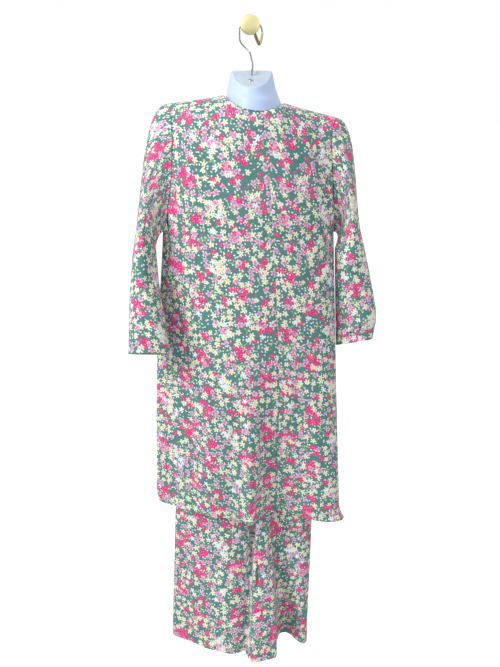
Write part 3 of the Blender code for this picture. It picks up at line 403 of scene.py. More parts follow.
def tunic_yoke(place, rise, near):
    """A point between the armpits' level, rise 0, and the shoulders and neck, rise 1."""
    start, end = (LEFT_SEAM, RIGHT_SEAM) if near else (RIGHT_SEAM, LEFT_SEAM_AGAIN)
    sides = ("left", "right") if near else ("right", "left")
    fullness = shoulder_fullness(place, near)
    over = 1 - (1 - rise**fullness) ** (1 / fullness)

    def plain(at):
        bottom, top = tunic_body(at, 0), top_edge(at)
        shares = np.array((rise, over, rise))
        return bottom + (top - bottom) * shares

    share = (place - start) / (end - start)
    first = armhole_at_rise(sides[0], near, rise) - plain(start)
    last = armhole_at_rise(sides[1], near, rise) - plain(end)
    return plain(place) + first * (1 - share) ** 3 + last * share**3


@lru_cache(maxsize=None)
def tunic_point(place, height, near):
    """Height 0 is the hem, 1 the armpits' level and 2 the shoulders and neck."""
    if height <= 1:
        return world(tunic_body(place, 1 - height))
    return world(tunic_yoke(place, height - 1, near))


@lru_cache(maxsize=None)
def tunic_normal(place, height, near):
    """The direction straight out of the cloth."""
    start, end = (LEFT_SEAM, RIGHT_SEAM) if near else (RIGHT_SEAM, LEFT_SEAM_AGAIN)
    step = 0.03
    free = height <= 1
    before = place - step if free else max(place - step, start)
    after = place + step if free else min(place + step, end)
    low, high = max(height - step, 0), min(height + step, 1 if free else 2)
    if height == 2:
        low = 2 - step / 3
    across = tunic_point(after, height, near) - tunic_point(before, height, near)
    upwards = tunic_point(place, high, near) - tunic_point(place, low, near)
    return unit(np.cross(across, upwards))


def unit(vector):
    return vector / np.linalg.norm(vector)


def add_object(name, points, faces, material):
    """A smooth mesh of this material, with its faces turned outwards."""
    mesh = bpy.data.meshes.new(name)
    mesh.from_pydata([tuple(float(v) for v in point) for point in points], [], faces)
    fixed = bmesh.new()
    fixed.from_mesh(mesh)
    bmesh.ops.recalc_face_normals(fixed, faces=fixed.faces)
    fixed.to_mesh(mesh)
    fixed.free()
    mesh.shade_smooth()
    mesh.set_sharp_from_angle(angle=HARD_EDGE_ANGLE)
    mesh.materials.append(material)
    item = bpy.data.objects.new(name, mesh)
    bpy.context.scene.collection.objects.link(item)
    return item


def grid_faces(rows, columns, start, closed, flip):
    """The faces of a grid of points, which may close on itself."""
    faces = []
    for row in range(rows - 1):
        for column in range(columns if closed else columns - 1):
            after = (column + 1) % columns
            a, b = start + row * columns + column, start + row * columns + after
            c, d = b + columns, a + columns
            faces.append((a, d, c, b) if flip else (a, b, c, d))
    return faces


@lru_cache(maxsize=None)
def sleeve_point(side, along, round_place):
    """A point of a sleeve, along 0 at the armhole and 1 at the cuff, round in twelfths."""
    rows = LEFT_SLEEVE if side == "left" else RIGHT_SLEEVE
    outwards = -1 if side == "left" else 1
    angle = math.tau * round_place / 12

    def ring_point(drop):
        stations = [row.drop for row in rows]
        values = through([np.array(row) for row in rows], stations, drop)
        _, x, out, half_x, half_out, turn, slope_out, slope_x = values
        dx = outwards * half_x * math.cos(angle)
        dout = half_out * math.sin(angle)
        turn = math.radians(turn)
        dx, dout = (
            dx * math.cos(turn) - dout * math.sin(turn),
            dx * math.sin(turn) + dout * math.cos(turn),
        )
        return world((x + dx, out + dout, drop + slope_out * dout + slope_x * dx))

    cap_share = 0.42
    first, last = rows[0].drop, rows[-1].drop
    if along >= cap_share:
        return ring_point(first + (last - first) * (along - cap_share) / (1 - cap_share))
    start = world(armhole(side, round_place % 12))
    end = ring_point(first)
    below = ring_point(first + 0.02) - end
    high = (1 + math.cos(angle)) / 2
    falling = 0.005 - 0.04 * high - 0.065 * math.sin(angle) ** 2
    leave = np.array((outwards * (0.075 + 0.09 * high), 0.0, falling))
    length = np.linalg.norm(end - start)
    arrive = unit(below) * length * (0.55 + 0.45 * high)
    arrive[0] += outwards * 0.035 * high
    share = along / cap_share
    return hermite(start, end, leave, arrive, share) + unit(leave) * ARMHOLE_GAP * (1 - share)


def sleeve_outwards(side, along, round_place):
    """The direction straight out of the sleeve's cloth, and out of the loop at the armhole."""
    low, high = max(along - 0.02, 0), min(along + 0.02, 1)
    across = sleeve_point(side, along, round_place + 0.1) - sleeve_point(side, along, round_place - 0.1)
    lengthways = sleeve_point(side, high, round_place) - sleeve_point(side, low, round_place)
    normal = unit(np.cross(across, lengthways)) * (-1 if side == "left" else 1)
    if along > 0.05:
        return normal
    middle = sum(sleeve_point(side, 0, place) for place in range(12)) / 12
    spoke = sleeve_point(side, 0, round_place) - middle
    spoke[0] = 0
    return unit(towards(unit(spoke), normal, along / 0.05))


def trough_depth(troughs, along, round_place):
    """How deep the troughs press the sleeve in at this point."""
    depth = 0.0
    for trough in troughs:
        share = (along - trough.along_from) / (trough.along_to - trough.along_from)
        if not 0 < share < 1:
            continue
        line = trough.round_from + (trough.round_to - trough.round_from) * share
        away = (round_place - line + 6) % 12 - 6
        depth += trough.depth * math.sin(math.pi * share) * math.exp(-((away / trough.width) ** 2))
    return depth


def columns_between(first, last, step):
    return [first + step * index for index in range(round((last - first) / step) + 1)]


# Places round the body and heights up it that the pieces are drawn through
NEAR_COLUMNS = columns_between(LEFT_SEAM, RIGHT_SEAM, 0.5)
FAR_COLUMNS = (
    columns_between(RIGHT_SEAM, FRONT_NECK_FROM, 0.25)
    + columns_between(FRONT_NECK_FROM, FRONT_NECK_TO, 0.375)[1:]
    + columns_between(FRONT_NECK_TO, LEFT_SEAM_AGAIN, 0.375)[1:]
)
YOKE_RISES = (0, 0.15, 0.32, 0.5, 0.66, 0.79, 0.89, 0.955, 0.987, 1)
FORM_RISES = (0, 0.15, 0.32, 0.5, 0.66, 0.79, 0.89, 0.95, 1)
TUNIC_HEIGHTS = (0, 0.015, 0.035, 0.07, 0.14, 0.22, 0.31, 0.40, 0.49, 0.58, 0.67, 0.76, 0.85, 0.93)


def form_chest(place):
    """The form's ring at the armpits' level, inside the tunic."""
    return tunic_point(place, 1, True) - tunic_normal(place, 1, True) * (CLOTH + FORM_CHEST_GAP)


def form_level(row, place):
    """The form's ring at a level below the chest."""
    chest = form_chest(place)
    middle = 0.002
    x = middle + (chest[0] - middle) * row.width
    out = FORM_BACK_OUT + (-chest[1] - FORM_BACK_OUT) * row.depth
    return world((x, out, row.drop + CHEST_TILT * x))


def form_yoke(place, rise, near):
    """The form's upper part, inside the tunic's yoke and resting just under its shoulders."""
    on_shoulder = place <= BACK_NECK_FROM or BACK_NECK_TO <= place <= FRONT_NECK_FROM
    on_shoulder = on_shoulder or place >= FRONT_NECK_TO
    least = FORM_REST_GAP if on_shoulder else FORM_NECK_GAP
    inside = CLOTH + least + (FORM_CHEST_GAP - least) * (1 - rise) ** 0.7
    point = tunic_point(place, 1 + rise, near)
    normal = tunic_normal(place, 1 + rise, near)
    if rise < 1:
        return point - normal * inside
    if place in (BACK_NECK_FROM, BACK_NECK_TO, FRONT_NECK_FROM, FRONT_NECK_TO):
        to_middle = math.copysign(1, 0.0087 - point[0])
        step = (0.005 * to_middle, -0.0055, -0.005) if near else (0.002 * to_middle, -0.0035, -0.005)
    elif on_shoulder:
        step = (0.0, -0.0015 if near else 0.0015, -inside - 0.0012)
    elif near:
        inwards = unit(np.array((0.0087 - point[0], -0.085 - point[1])))
        step = (inwards[0] * 0.005, inwards[1] * 0.005, -0.004)
    else:
        step = (0.0, -0.005, -0.005)
    return point + np.array(step)


def form_columns(rise):
    """The places of the visible and the hidden side, drawn in from the seams at the armpits."""
    near, far = list(NEAR_COLUMNS), list(FAR_COLUMNS)
    near_step, far_step = 0.3 - 0.2 * rise, 0.12 - 0.06 * rise
    near[0], near[-1] = near[0] + near_step, near[-1] - near_step
    far[0], far[-1] = far[0] + far_step, far[-1] - far_step
    return near, far


def form_ring(rise):
    """One closed ring of the upper part, with the limbless shoulder ends rounded out."""
    near_places, far_places = form_columns(rise)
    if rise == 0:
        near = [form_chest(place) for place in near_places]
        far = [form_chest(place) for place in far_places]
        return near + [form_chest(RIGHT_SEAM)] + far + [form_chest(LEFT_SEAM)]
    near = [form_yoke(place, rise, True) for place in near_places]
    far = [form_yoke(place, rise, False) for place in far_places]
    bulge = 0.010 * math.sin(math.pi * rise) + 0.0008
    right = (near[-1] + far[0]) / 2 + np.array((bulge, 0, 0))
    left = (near[0] + far[-1]) / 2 - np.array((bulge, 0, 0))
    return near + [right] + far + [left]


def ring_places():
    """The places of a full ring of the form, in the same order as form_ring."""
    near, far = form_columns(0)
    return near + [RIGHT_SEAM] + far + [LEFT_SEAM]


def neck_ring(row, near_count, far_count):
    """A ring of the neck: rounded on the visible side and nearly flat on the other."""
    ring = []
    for index in range(near_count):
        angle = math.pi * index / (near_count - 1)
        ring.append((-math.cos(angle), row.depth * math.sin(angle)))
    for index in range(far_count):
        angle = math.pi * (index + 0.2) / (far_count - 0.6)
        ring.append((math.cos(angle), -row.far_depth * math.sin(angle) ** 0.6))
    points = []
    for across, outwards in ring:
        out = row.back_out + outwards
        sideways = row.half_width * across
        drop = row.back_drop + row.slope * (out - row.back_out) + row.tilt * sideways
        points.append(world((row.x + sideways, out, drop)))
    return points


def torso_form(material):
    """The whole form: bottom, hips, waist, chest, shoulders, neck and slanted cap."""
    places = ring_places()
    rings = [[form_level(row, place) for place in places] for row in FORM_ROWS]
    rings += [form_ring(rise) for rise in FORM_RISES]
    columns = len(places)
    points = [point for ring in rings for point in ring]
    faces = grid_faces(len(rings), columns, 0, True, False)
    faces.append(tuple(range(columns)))
    top = (len(rings) - 1) * columns
    near_start, near_end = NEAR_COLUMNS.index(BACK_NECK_FROM), NEAR_COLUMNS.index(BACK_NECK_TO)
    far_first = len(NEAR_COLUMNS) + 1
    far_start = far_first + FAR_COLUMNS.index(FRONT_NECK_FROM)
    far_end = far_first + FAR_COLUMNS.index(FRONT_NECK_TO)
    left_middle, right_middle = columns - 1, len(NEAR_COLUMNS)
    faces.append((top, top + left_middle, top + left_middle - 1))
    for step in range(near_start):
        a, b = top + step, top + step + 1
        c, d = top + left_middle - 2 - step, top + left_middle - 1 - step
        faces.append((a, b, c, d))
    faces.append((top + right_middle - 1, top + right_middle, top + right_middle + 1))
    for step in range(len(NEAR_COLUMNS) - 1 - near_end):
        a, b = top + right_middle - 1 - step, top + right_middle - 2 - step
        c, d = top + right_middle + 2 + step, top + right_middle + 1 + step
        faces.append((b, a, d, c))
    foot = list(range(top + near_start, top + near_end + 1)) + list(range(top + far_start, top + far_end + 1))
    near_count, far_count = near_end - near_start + 1, far_end - far_start + 1
    for row in NECK_ROWS:
        start = len(points)
        points += neck_ring(row, near_count, far_count)
        ring = list(range(start, len(points)))
        for index in range(len(ring)):
            after = (index + 1) % len(ring)
            faces.append((foot[index], foot[after], ring[after], ring[index]))
        foot = ring
    faces.append(tuple(foot))
    return add_object("moulded_form", points, faces, material)


def cap_point(x, out, above=0.0):
    """A point over the slanted cap of the neck."""
    top = NECK_ROWS[-1]
    normal = unit(np.array((0.0, -top.slope, 1.0)))
    drop = top.back_drop + top.slope * (out - top.back_out)
    return world((x, out, drop)) + normal * above, normal


@lru_cache(maxsize=None)
def waist_point(waist_place):
    """Where the skirt's top is held, just outside the form's waist."""
    ahead = form_level(FORM_ROWS[4], waist_place + 0.1) - form_level(FORM_ROWS[4], waist_place - 0.1)
    outwards = unit(np.array((ahead[1], -ahead[0], 0.0)))
    return form_level(FORM_ROWS[4], waist_place) + outwards * SKIRT_WAIST_OUTSET


@lru_cache(maxsize=None)
def skirt_ring(drop):
    """The places of the skirt at this drop."""
    ring = []
    for row in SKIRT_PLACES:
        held = waist_point(row.waist_place)
        stations = (
            (held[0], -held[1]),
            (row.hip_x, row.hip_out),
            (row.mid_x, row.mid_out),
            (row.hem_x, row.hem_out),
        )
        plan = through([np.array(station) for station in stations], SKIRT_DROPS, drop)
        ring.append(np.array((plan[0], plan[1], drop + CHEST_TILT * plan[0])))
    return ring


def skirt_body(place, drop):
    """A point of the skirt round its plan, close on the form at the waist and free below the hips."""
    point = world(round_ring(skirt_ring(drop), place))
    free = (drop - SKIRT_DROPS[0]) / (SKIRT_DROPS[1] - SKIRT_DROPS[0])
    if free >= 1:
        return point
    waist_places = [row.waist_place for row in SKIRT_PLACES] + [float(len(TUNIC_PLACES))]
    waist_place = float(np.interp(place % len(SKIRT_PLACES), range(len(waist_places)), waist_places))
    held = waist_point(waist_place) - world(round_ring(skirt_ring(SKIRT_DROPS[0]), place))
    return point + np.array((held[0], held[1], 0.0)) * (1 - free) ** 2


# Shares of the skirt's length that its rows lie at
SKIRT_ROWS = (0.0, 0.05, 0.1, 0.155, 0.23, 0.32, 0.42, 0.52, 0.62, 0.7, 0.78, 0.86, 0.93, 1.0)


def tube(name, path, radii, sides, material):
    """A round bar along a path, closed at both ends."""
    points, faces = [], []
    for index, centre in enumerate(path):
        ahead = path[min(index + 1, len(path) - 1)] - path[max(index - 1, 0)]
        ahead = unit(ahead)
        side = unit(np.cross(ahead, np.array((0.31, 0.11, 0.2)))) if index == 0 else side
        side = unit(side - ahead * np.dot(side, ahead))
        other = np.cross(ahead, side)
        for step in range(sides):
            angle = math.tau * step / sides
            points.append(centre + (side * math.cos(angle) + other * math.sin(angle)) * radii[index])
    faces = grid_faces(len(path), sides, 0, True, False)
    faces.append(tuple(range(sides)))
    faces.append(tuple(range((len(path) - 1) * sides, len(path) * sides)))
    return add_object(name, points, faces, material)


# Hard pieces

SCREW_PROFILE = (
    # radius, height
    (0.0048, 0.0000),
    (0.0048, 0.0006),
    (0.0044, 0.0014),
    (0.0034, 0.0022),
    (0.0020, 0.0028),
    (0.0007, 0.0030),
)
SLOT_PROFILE = (
    (0.0013, 0.0027),
    (0.0013, 0.0031),
    (0.0004, 0.0032),
)


def lathe(name, profile, sides, material, towards_room=False):
    """A turned piece: radius and height up its axis, or out from the wall."""
    points = []
    for radius, height in profile:
        for step in range(sides):
            angle = math.tau * step / sides
            across, along = radius * math.cos(angle), radius * math.sin(angle)
            points.append((across, -height, along) if towards_room else (across, along, height))
    faces = grid_faces(len(profile), sides, 0, True, False)
    faces.append(tuple(range(sides)))
    faces.append(tuple(range(len(points) - sides, len(points))))
    return add_object(name, points, faces, material)


def wire_hook(material):
    """The form's hook: an arc over the wall hook's stem and an S-shaped shank down to the cap."""
    crown = STEM_RADIUS + SEAM_GAP + WIRE_RADIUS
    height = WIRE_ARC_DROP + crown
    route = [np.array((WIRE_ARC_X + WIRE_ARC_HALF_WIDTH + 0.0022, WIRE_ARC_OUT, 0.0205))]
    for step in range(13):
        angle = math.pi * step / 12
        across, rise = WIRE_ARC_HALF_WIDTH * math.cos(angle), height * math.sin(angle)
        route.append(np.array((WIRE_ARC_X + across, WIRE_ARC_OUT, WIRE_ARC_DROP - rise)))
    route += [np.array(point) for point in WIRE_ROUTE]
    above, _ = cap_point(*WIRE_CAP_POINT, above=0.012)
    foot, _ = cap_point(*WIRE_CAP_POINT, above=SEAM_GAP)
    route += [np.array((point[0], -point[1], -point[2])) for point in (above, foot)]
    stations = tuple(range(len(route)))
    samples = np.linspace(0, len(route) - 1, 180)
    path = [world(through(route, stations, sample)) for sample in samples]
    radii = [WIRE_RADIUS * min(1.0, 0.55 + 0.15 * index) for index in range(len(path))]
    return tube("bent_wire_hook", path, radii, 20, material)


def wall_prong(material):
    """The lower prong of the wall hook."""
    stations = tuple(range(len(PRONG_ROUTE)))
    samples = np.linspace(0, len(PRONG_ROUTE) - 1, 70)
    route = [through([np.array(point) for point in PRONG_ROUTE], stations, sample) for sample in samples]
    path = [world(point) for point in route]
    return tube("wall_hook_prong", path, [point[3] for point in route], 20, material)


# Folds of the cloth. Side is the visible or the hidden side, width and depth are the fold's, and a
# negative depth is a trough. An open fold runs out over its last point.
Fold = namedtuple("Fold", "name side width depth open_end line")
TUNIC_FOLDS = (
    Fold("left armpit drag", "near", 0.012, -0.003, False,
         ((-0.198, 0.455), (-0.137, 0.497), (-0.080, 0.515))),
    Fold("right armpit drag", "near", 0.011, -0.0032, False,
         ((0.192, 0.471), (0.142, 0.529), (0.098, 0.565))),
    Fold("left blade hollow", "near", 0.016, -0.0024, False,
         ((-0.050, 0.178), (-0.097, 0.255), (-0.122, 0.370))),
    Fold("right blade hollow", "near", 0.014, -0.0022, False,
         ((0.075, 0.182), (0.109, 0.255), (0.133, 0.376))),
    Fold("left side hollow", "near", 0.013, -0.004, True,
         ((-0.148, 0.757), (-0.142, 0.927), (-0.139, 1.117))),
    Fold("left hip fold", "near", 0.012, 0.0036, True,
         ((-0.100, 0.706), (-0.092, 0.923), (-0.085, 1.139))),
    Fold("beside the middle fold", "near", 0.011, -0.0048, True,
         ((-0.028, 0.817), (-0.042, 0.973), (-0.048, 1.136))),
    Fold("middle fold edge", "near", 0.007, 0.0026, True,
         ((-0.005, 0.838), (0.000, 0.988), (0.002, 1.135))),
    Fold("right of the seam", "near", 0.012, -0.0036, True,
         ((0.104, 0.652), (0.117, 0.870), (0.128, 1.090))),
    Fold("right hip fold", "near", 0.01, 0.0034, True,
         ((0.143, 0.756), (0.158, 0.925), (0.175, 1.114))),
    Fold("right side crease", "near", 0.006, -0.0024, True,
         ((0.191, 0.821), (0.200, 0.962), (0.212, 1.128))),
    Fold("left waist crease", "near", 0.007, -0.0016, False,
         ((-0.175, 0.584), (-0.122, 0.612), (-0.067, 0.602))),
    Fold("right waist crease", "near", 0.007, -0.0018, False,
         ((0.171, 0.598), (0.122, 0.625), (0.086, 0.616))),
)
SKIRT_FOLDS = (
    Fold("pleat mouth", "near", 0.0038, -0.022, False,
         ((0.004, 1.131), (0.005, 1.186), (0.010, 1.242))),
    Fold("pleat line", "near", 0.0034, -0.016, False,
         ((0.014, 1.203), (0.016, 1.265), (0.019, 1.346))),
    Fold("valley", "near", 0.004, -0.0035, True,
         ((-0.001, 1.322), (-0.008, 1.413), (-0.012, 1.470), (-0.016, 1.537))),
    Fold("right of the pleat", "near", 0.006, -0.0036, False,
         ((0.050, 1.133), (0.053, 1.234), (0.048, 1.337))),
    Fold("short crease", "near", 0.0045, -0.0024, False,
         ((0.031, 1.352), (0.036, 1.416))),
    Fold("long crease", "near", 0.005, -0.0028, True,
         ((0.040, 1.363), (0.055, 1.450), (0.056, 1.498))),
    Fold("left panel hollow", "near", 0.011, -0.0026, True,
         ((-0.166, 1.172), (-0.164, 1.319), (-0.158, 1.472))),
    Fold("left panel crease", "near", 0.0075, -0.0018, True,
         ((-0.104, 1.238), (-0.098, 1.364), (-0.087, 1.497))),
    Fold("right panel hollow", "near", 0.008, -0.003, True,
         ((0.103, 1.178), (0.112, 1.318), (0.123, 1.487))),
)
SLEEVE_FOLDS = (
    Fold("left underarm crease", "near", 0.006, -0.0034, False,
         ((-0.208, 0.250), (-0.206, 0.362), (-0.198, 0.439))),
    Fold("left elbow crease", "near", 0.0075, -0.0026, False,
         ((-0.200, 0.477), (-0.220, 0.534), (-0.243, 0.574))),
    Fold("left forearm hollow", "near", 0.0085, -0.0026, True,
         ((-0.235, 0.551), (-0.227, 0.619), (-0.231, 0.682))),
    Fold("right underarm crease", "near", 0.006, -0.0036, False,
         ((0.216, 0.312), (0.207, 0.368), (0.203, 0.449), (0.197, 0.488))),
    Fold("right elbow crease", "near", 0.007, -0.0026, False,
         ((0.201, 0.501), (0.225, 0.533), (0.252, 0.542))),
    Fold("right forearm hollow", "near", 0.008, -0.0024, False,
         ((0.229, 0.515), (0.249, 0.584), (0.249, 0.640))),
    Fold("right cuff tuck", "near", 0.004, -0.0042, False,
         ((0.208, 0.691), (0.226, 0.681), (0.238, 0.662), (0.257, 0.654), (0.277, 0.644))),
    Fold("right cuff roll", "near", 0.0045, 0.003, False,
         ((0.207, 0.680), (0.223, 0.669), (0.234, 0.652), (0.254, 0.645), (0.275, 0.634))),
)
HIDDEN_FOLDS = (
    Fold("left armpit drag", "far", 0.012, -0.0020, False, ((-0.160, 0.450), (-0.110, 0.500), (-0.060, 0.520))),
    Fold("right armpit drag", "far", 0.012, -0.0020, False, ((0.160, 0.455), (0.105, 0.505), (0.060, 0.530))),
    Fold("left front fold", "far", 0.014, -0.0026, True, ((-0.120, 0.620), (-0.118, 0.860), (-0.110, 1.120))),
    Fold("front middle fold", "far", 0.016, 0.0020, True, ((-0.020, 0.700), (-0.012, 0.900), (-0.015, 1.130))),
    Fold("right front fold", "far", 0.013, -0.0026, True, ((0.085, 0.560), (0.096, 0.820), (0.104, 1.130))),
)
HIDDEN_SKIRT_FOLDS = (
    Fold("left front hollow", "far", 0.012, -0.0022, True, ((-0.110, 0.820), (-0.105, 1.150), (-0.100, 1.500))),
    Fold("right front hollow", "far", 0.012, -0.0022, True, ((0.070, 0.860), (0.078, 1.180), (0.080, 1.500))),
)
HIDDEN_SLEEVE_FOLDS = (
    Fold("left hidden crease", "far", 0.007, -0.0020, False, ((-0.214, 0.330), (-0.226, 0.440), (-0.240, 0.520))),
    Fold("right hidden crease", "far", 0.007, -0.0020, False, ((0.205, 0.330), (0.222, 0.430), (0.244, 0.540))),
)

# The print: where the bunches of flowers stand in one repeat of the cloth, right and down
Bunch = namedtuple("Bunch", "name right down radius pale")
BUNCHES = (
    Bunch("large bright", 0.013, 0.079, 0.0200, False),
    Bunch("white centred", 0.071, 0.008, 0.0200, True),
    Bunch("tall bright", 0.112, 0.060, 0.0215, False),
    Bunch("pair", 0.024, 0.032, 0.0125, False),
    Bunch("cream and pink", 0.116, 0.120, 0.0115, False),
    Bunch("small bright", 0.077, 0.079, 0.0080, False),
    Bunch("single", 0.048, 0.119, 0.0080, False),
    Bunch("pink", 0.135, 0.033, 0.0085, False),
    Bunch("lone", 0.062, 0.050, 0.0070, False),
)
REPEAT_ACROSS, REPEAT_DOWN, REPEAT_STEP = 0.150, 0.133, 0.050
REPEAT_SLANT = REPEAT_STEP / REPEAT_ACROSS

# The print's flowers, sprigs and loose petals
FlowerLayer = namedtuple("FlowerLayer", "spacing radius missing bunched_only")
FLOWER_LAYERS = (
    FlowerLayer(0.0122, 0.0074, 1.0, 1.0),
    FlowerLayer(0.0162, 0.0070, 0.20, 0.0),
)
SPRIG_SPACING, SPRIG_LENGTH = 0.021, 0.0088
PETAL_SPACING, PETAL_HALF_LENGTH, PETAL_SLIMNESS = 0.0078, 0.0024, 1.55
EDGE_BLUR = 0.0004
THREAD_WIDTH = 0.0005
STITCH_LENGTH = 0.0030

# Where the print lies on each cut piece, right and down
PRINT_STARTS = {
    "sewn_tunic_back_left": (0.193, -0.063),
    "sewn_tunic_back_right": (0.085, -0.020),
    "sewn_tunic_front": (0.02, 0.03),
    "sewn_sleeve_left": (0.03, 0.02),
    "sewn_sleeve_right": (0.11, 0.07),
    "sewn_skirt_back_left": (0.14, 0.02),
    "sewn_skirt_back_right": (0.06, 0.05),
    "sewn_skirt_front": (0.02, 0.09),
    "sewn_waistband": (0, 0),
}

# A flat size of a cut piece: width and length, with its area. No piece is given one.
FlatCut = namedtuple("FlatCut", "width length area")


# Fine cloth

HEM_WAVE_DEPTH = 0.0010
HEM_WAVE_REACH = 0.045
SEAM_DIP_DEPTH = 0.0007
SEAM_DIP_REACH = 0.0035
NECK_STITCH_DEPTH = 0.008
FOLD_STEPS = 14
FOLD_END_SHARE = 0.4


def smoother(points, steps, closed=False):
    """The smooth curve through the first axis of an array, with this many steps in each span."""
    points = np.asarray(points, float)
    if closed:
        padded = np.concatenate((points[-1:], points, points[:2]))
    else:
        ends = 2 * points[:1] - points[1:2], 2 * points[-1:] - points[-2:-1]
        padded = np.concatenate((ends[0], points, ends[1]))
    result = []
    for span in range(len(points) if closed else len(points) - 1):
        before, a, b, after = padded[span : span + 4]
        for step in range(steps):
            result.append(hermite(a, b, (b - before) / 2, (after - a) / 2, step / steps))
    if not closed:
        result.append(points[-1])
    return np.array(result)


def fine_grid(grid, down, across, closed=False):
    """A grid of points with more smooth rows and columns."""
    rows = smoother(np.asarray(grid, float), down)
    return smoother(rows.swapaxes(0, 1), across, closed).swapaxes(0, 1)


def grid_normals(points, closed=False):
    """The directions out of a grid whose columns run across and whose rows run upwards."""
    if closed:
        across = np.roll(points, -1, 1) - np.roll(points, 1, 1)
    else:
        across = np.gradient(points, axis=1)
    normals = np.cross(across, np.gradient(points, axis=0))
    return normals / np.linalg.norm(normals, axis=2, keepdims=True)


def fold_lift(points, normals, folds, share):
    """How far the folds lift each point of the cloth. Troughs are negative."""
    lift = np.zeros(points.shape[:2])
    seen = np.stack((points[..., 0], -points[..., 2]), -1)
    for fold in folds:
        facing = -normals[..., 1] if fold.side == "near" else normals[..., 1]
        facing = np.clip(facing * 1.7, 0, 1)
        line = smoother(np.array(fold.line), FOLD_STEPS)
        along = np.linspace(0, 1, len(line))
        away = np.linalg.norm(seen[:, :, None, :] - line[None, None, :, :], axis=3)
        nearest = along[away.argmin(2)]
        fade = np.clip(nearest / FOLD_END_SHARE, 0, 1)
        if not fold.open_end:
            fade = fade * np.clip((1 - nearest) / FOLD_END_SHARE, 0, 1)
        fade = fade * fade * (3 - 2 * fade)
        lift += fold.depth * share * np.exp(-((away.min(2) / fold.width) ** 2)) * fade * facing
    return lift


def hem_waves(points, from_hem, depth):
    """Small uneven waves that fade out above a hem."""
    across = points[..., 0] * 62 + points[..., 1] * 40
    waves = np.sin(across) * 0.6 + np.sin(across * 2.3 + 1.1) * 0.4
    return depth * waves * np.exp(-from_hem / HEM_WAVE_REACH)


def lengths_along(points, axis):
    """The distance covered from the first point along one axis of the grid."""
    steps = np.linalg.norm(np.diff(points, axis=axis), axis=2)
    start = np.zeros_like(np.take(steps, [0], axis=axis))
    return np.concatenate((start, np.cumsum(steps, axis=axis)), axis=axis)


def cloth_object(name, outer, inner, flat, stitch, closed, materials):
    """A thin shell between two grids, with its print map, its stitch lines and its wrong side."""
    rows, columns = outer.shape[:2]
    half = rows * columns
    points = np.concatenate((outer.reshape(-1, 3), inner.reshape(-1, 3)))
    spans = columns if closed else columns - 1
    faces, corners, wrong = [], [], []
    for row in range(rows - 1):
        for column in range(spans):
            after = (column + 1) % columns
            a, b = row * columns + column, row * columns + after
            c, d = b + columns, a + columns
            low, low_after = flat[row, column], flat[row, column + 1]
            high_after, high = flat[row + 1, column + 1], flat[row + 1, column]
            faces.append((a, b, c, d))
            corners += [low, low_after, high_after, high]
            wrong.append(0)
            faces.append((half + a, half + d, half + c, half + b))
            corners += [low, high, high_after, low_after]
            wrong.append(1)
    for row, turned in ((0, True), (rows - 1, False)):
        for column in range(spans):
            a, b = row * columns + column, row * columns + (column + 1) % columns
            low, high = flat[row, column], flat[row, column + 1]
            if turned:
                faces.append((b, a, half + a, half + b))
                corners += [high, low, low, high]
            else:
                faces.append((a, b, half + b, half + a))
                corners += [low, high, high, low]
            wrong.append(0)
    for column, turned in () if closed else ((0, False), (columns - 1, True)):
        for row in range(rows - 1):
            a, b = row * columns + column, (row + 1) * columns + column
            low, high = flat[row, column], flat[row + 1, column]
            if turned:
                faces.append((b, a, half + a, half + b))
                corners += [high, low, low, high]
            else:
                faces.append((a, b, half + b, half + a))
                corners += [low, high, high, low]
            wrong.append(0)
    mesh = bpy.data.meshes.new(name)
    mesh.from_pydata(points.tolist(), [], faces)
    layer = mesh.uv_layers.new(name="Cloth grain")
    layer.data.foreach_set("uv", np.array(corners, float).ravel())
    mesh.polygons.foreach_set("material_index", np.array(wrong, np.int32))
    lines = mesh.attributes.new("stitch", "FLOAT", "POINT")
    lines.data.foreach_set("value", np.concatenate((stitch.ravel(), stitch.ravel())))
    mesh.shade_smooth()
    mesh.set_sharp_from_angle(angle=CLOTH_EDGE_ANGLE)
    for material in materials:
        mesh.materials.append(material)
    item = bpy.data.objects.new(name, mesh)
    bpy.context.scene.collection.objects.link(item)
    return item


def grain_map(widths, heights, last, anchor, shift):
    """Where each corner of the grid lies on the flat print: to the right and up, in metres.

    A closed piece gives the width of its last column, and its print starts and ends there.
    """
    closed = last is not None
    if closed:
        widths = np.concatenate((widths, widths[:, -1:] + last[:, None]), 1)
        heights = np.concatenate((heights, heights[:, :1]), 1)
    keel = int(round(anchor * (widths.shape[1] - 1)))
    right = widths - widths[:, keel : keel + 1] + shift[0]
    top = heights.max() if closed else heights[-1, keel]
    return np.stack((right, -(top - heights + shift[1])), -1)


def stitch_distance(heights, hem_depth, at_neck):
    """How far each point is from the nearest stitch line: along the hem, and under the neck edge."""
    stitch = heights - hem_depth
    if at_neck is None:
        return stitch
    collar = np.where(at_neck[None, :], heights[-1:] - heights - NECK_STITCH_DEPTH, 1.0)
    return np.where(np.abs(collar) < np.abs(stitch), collar, stitch)


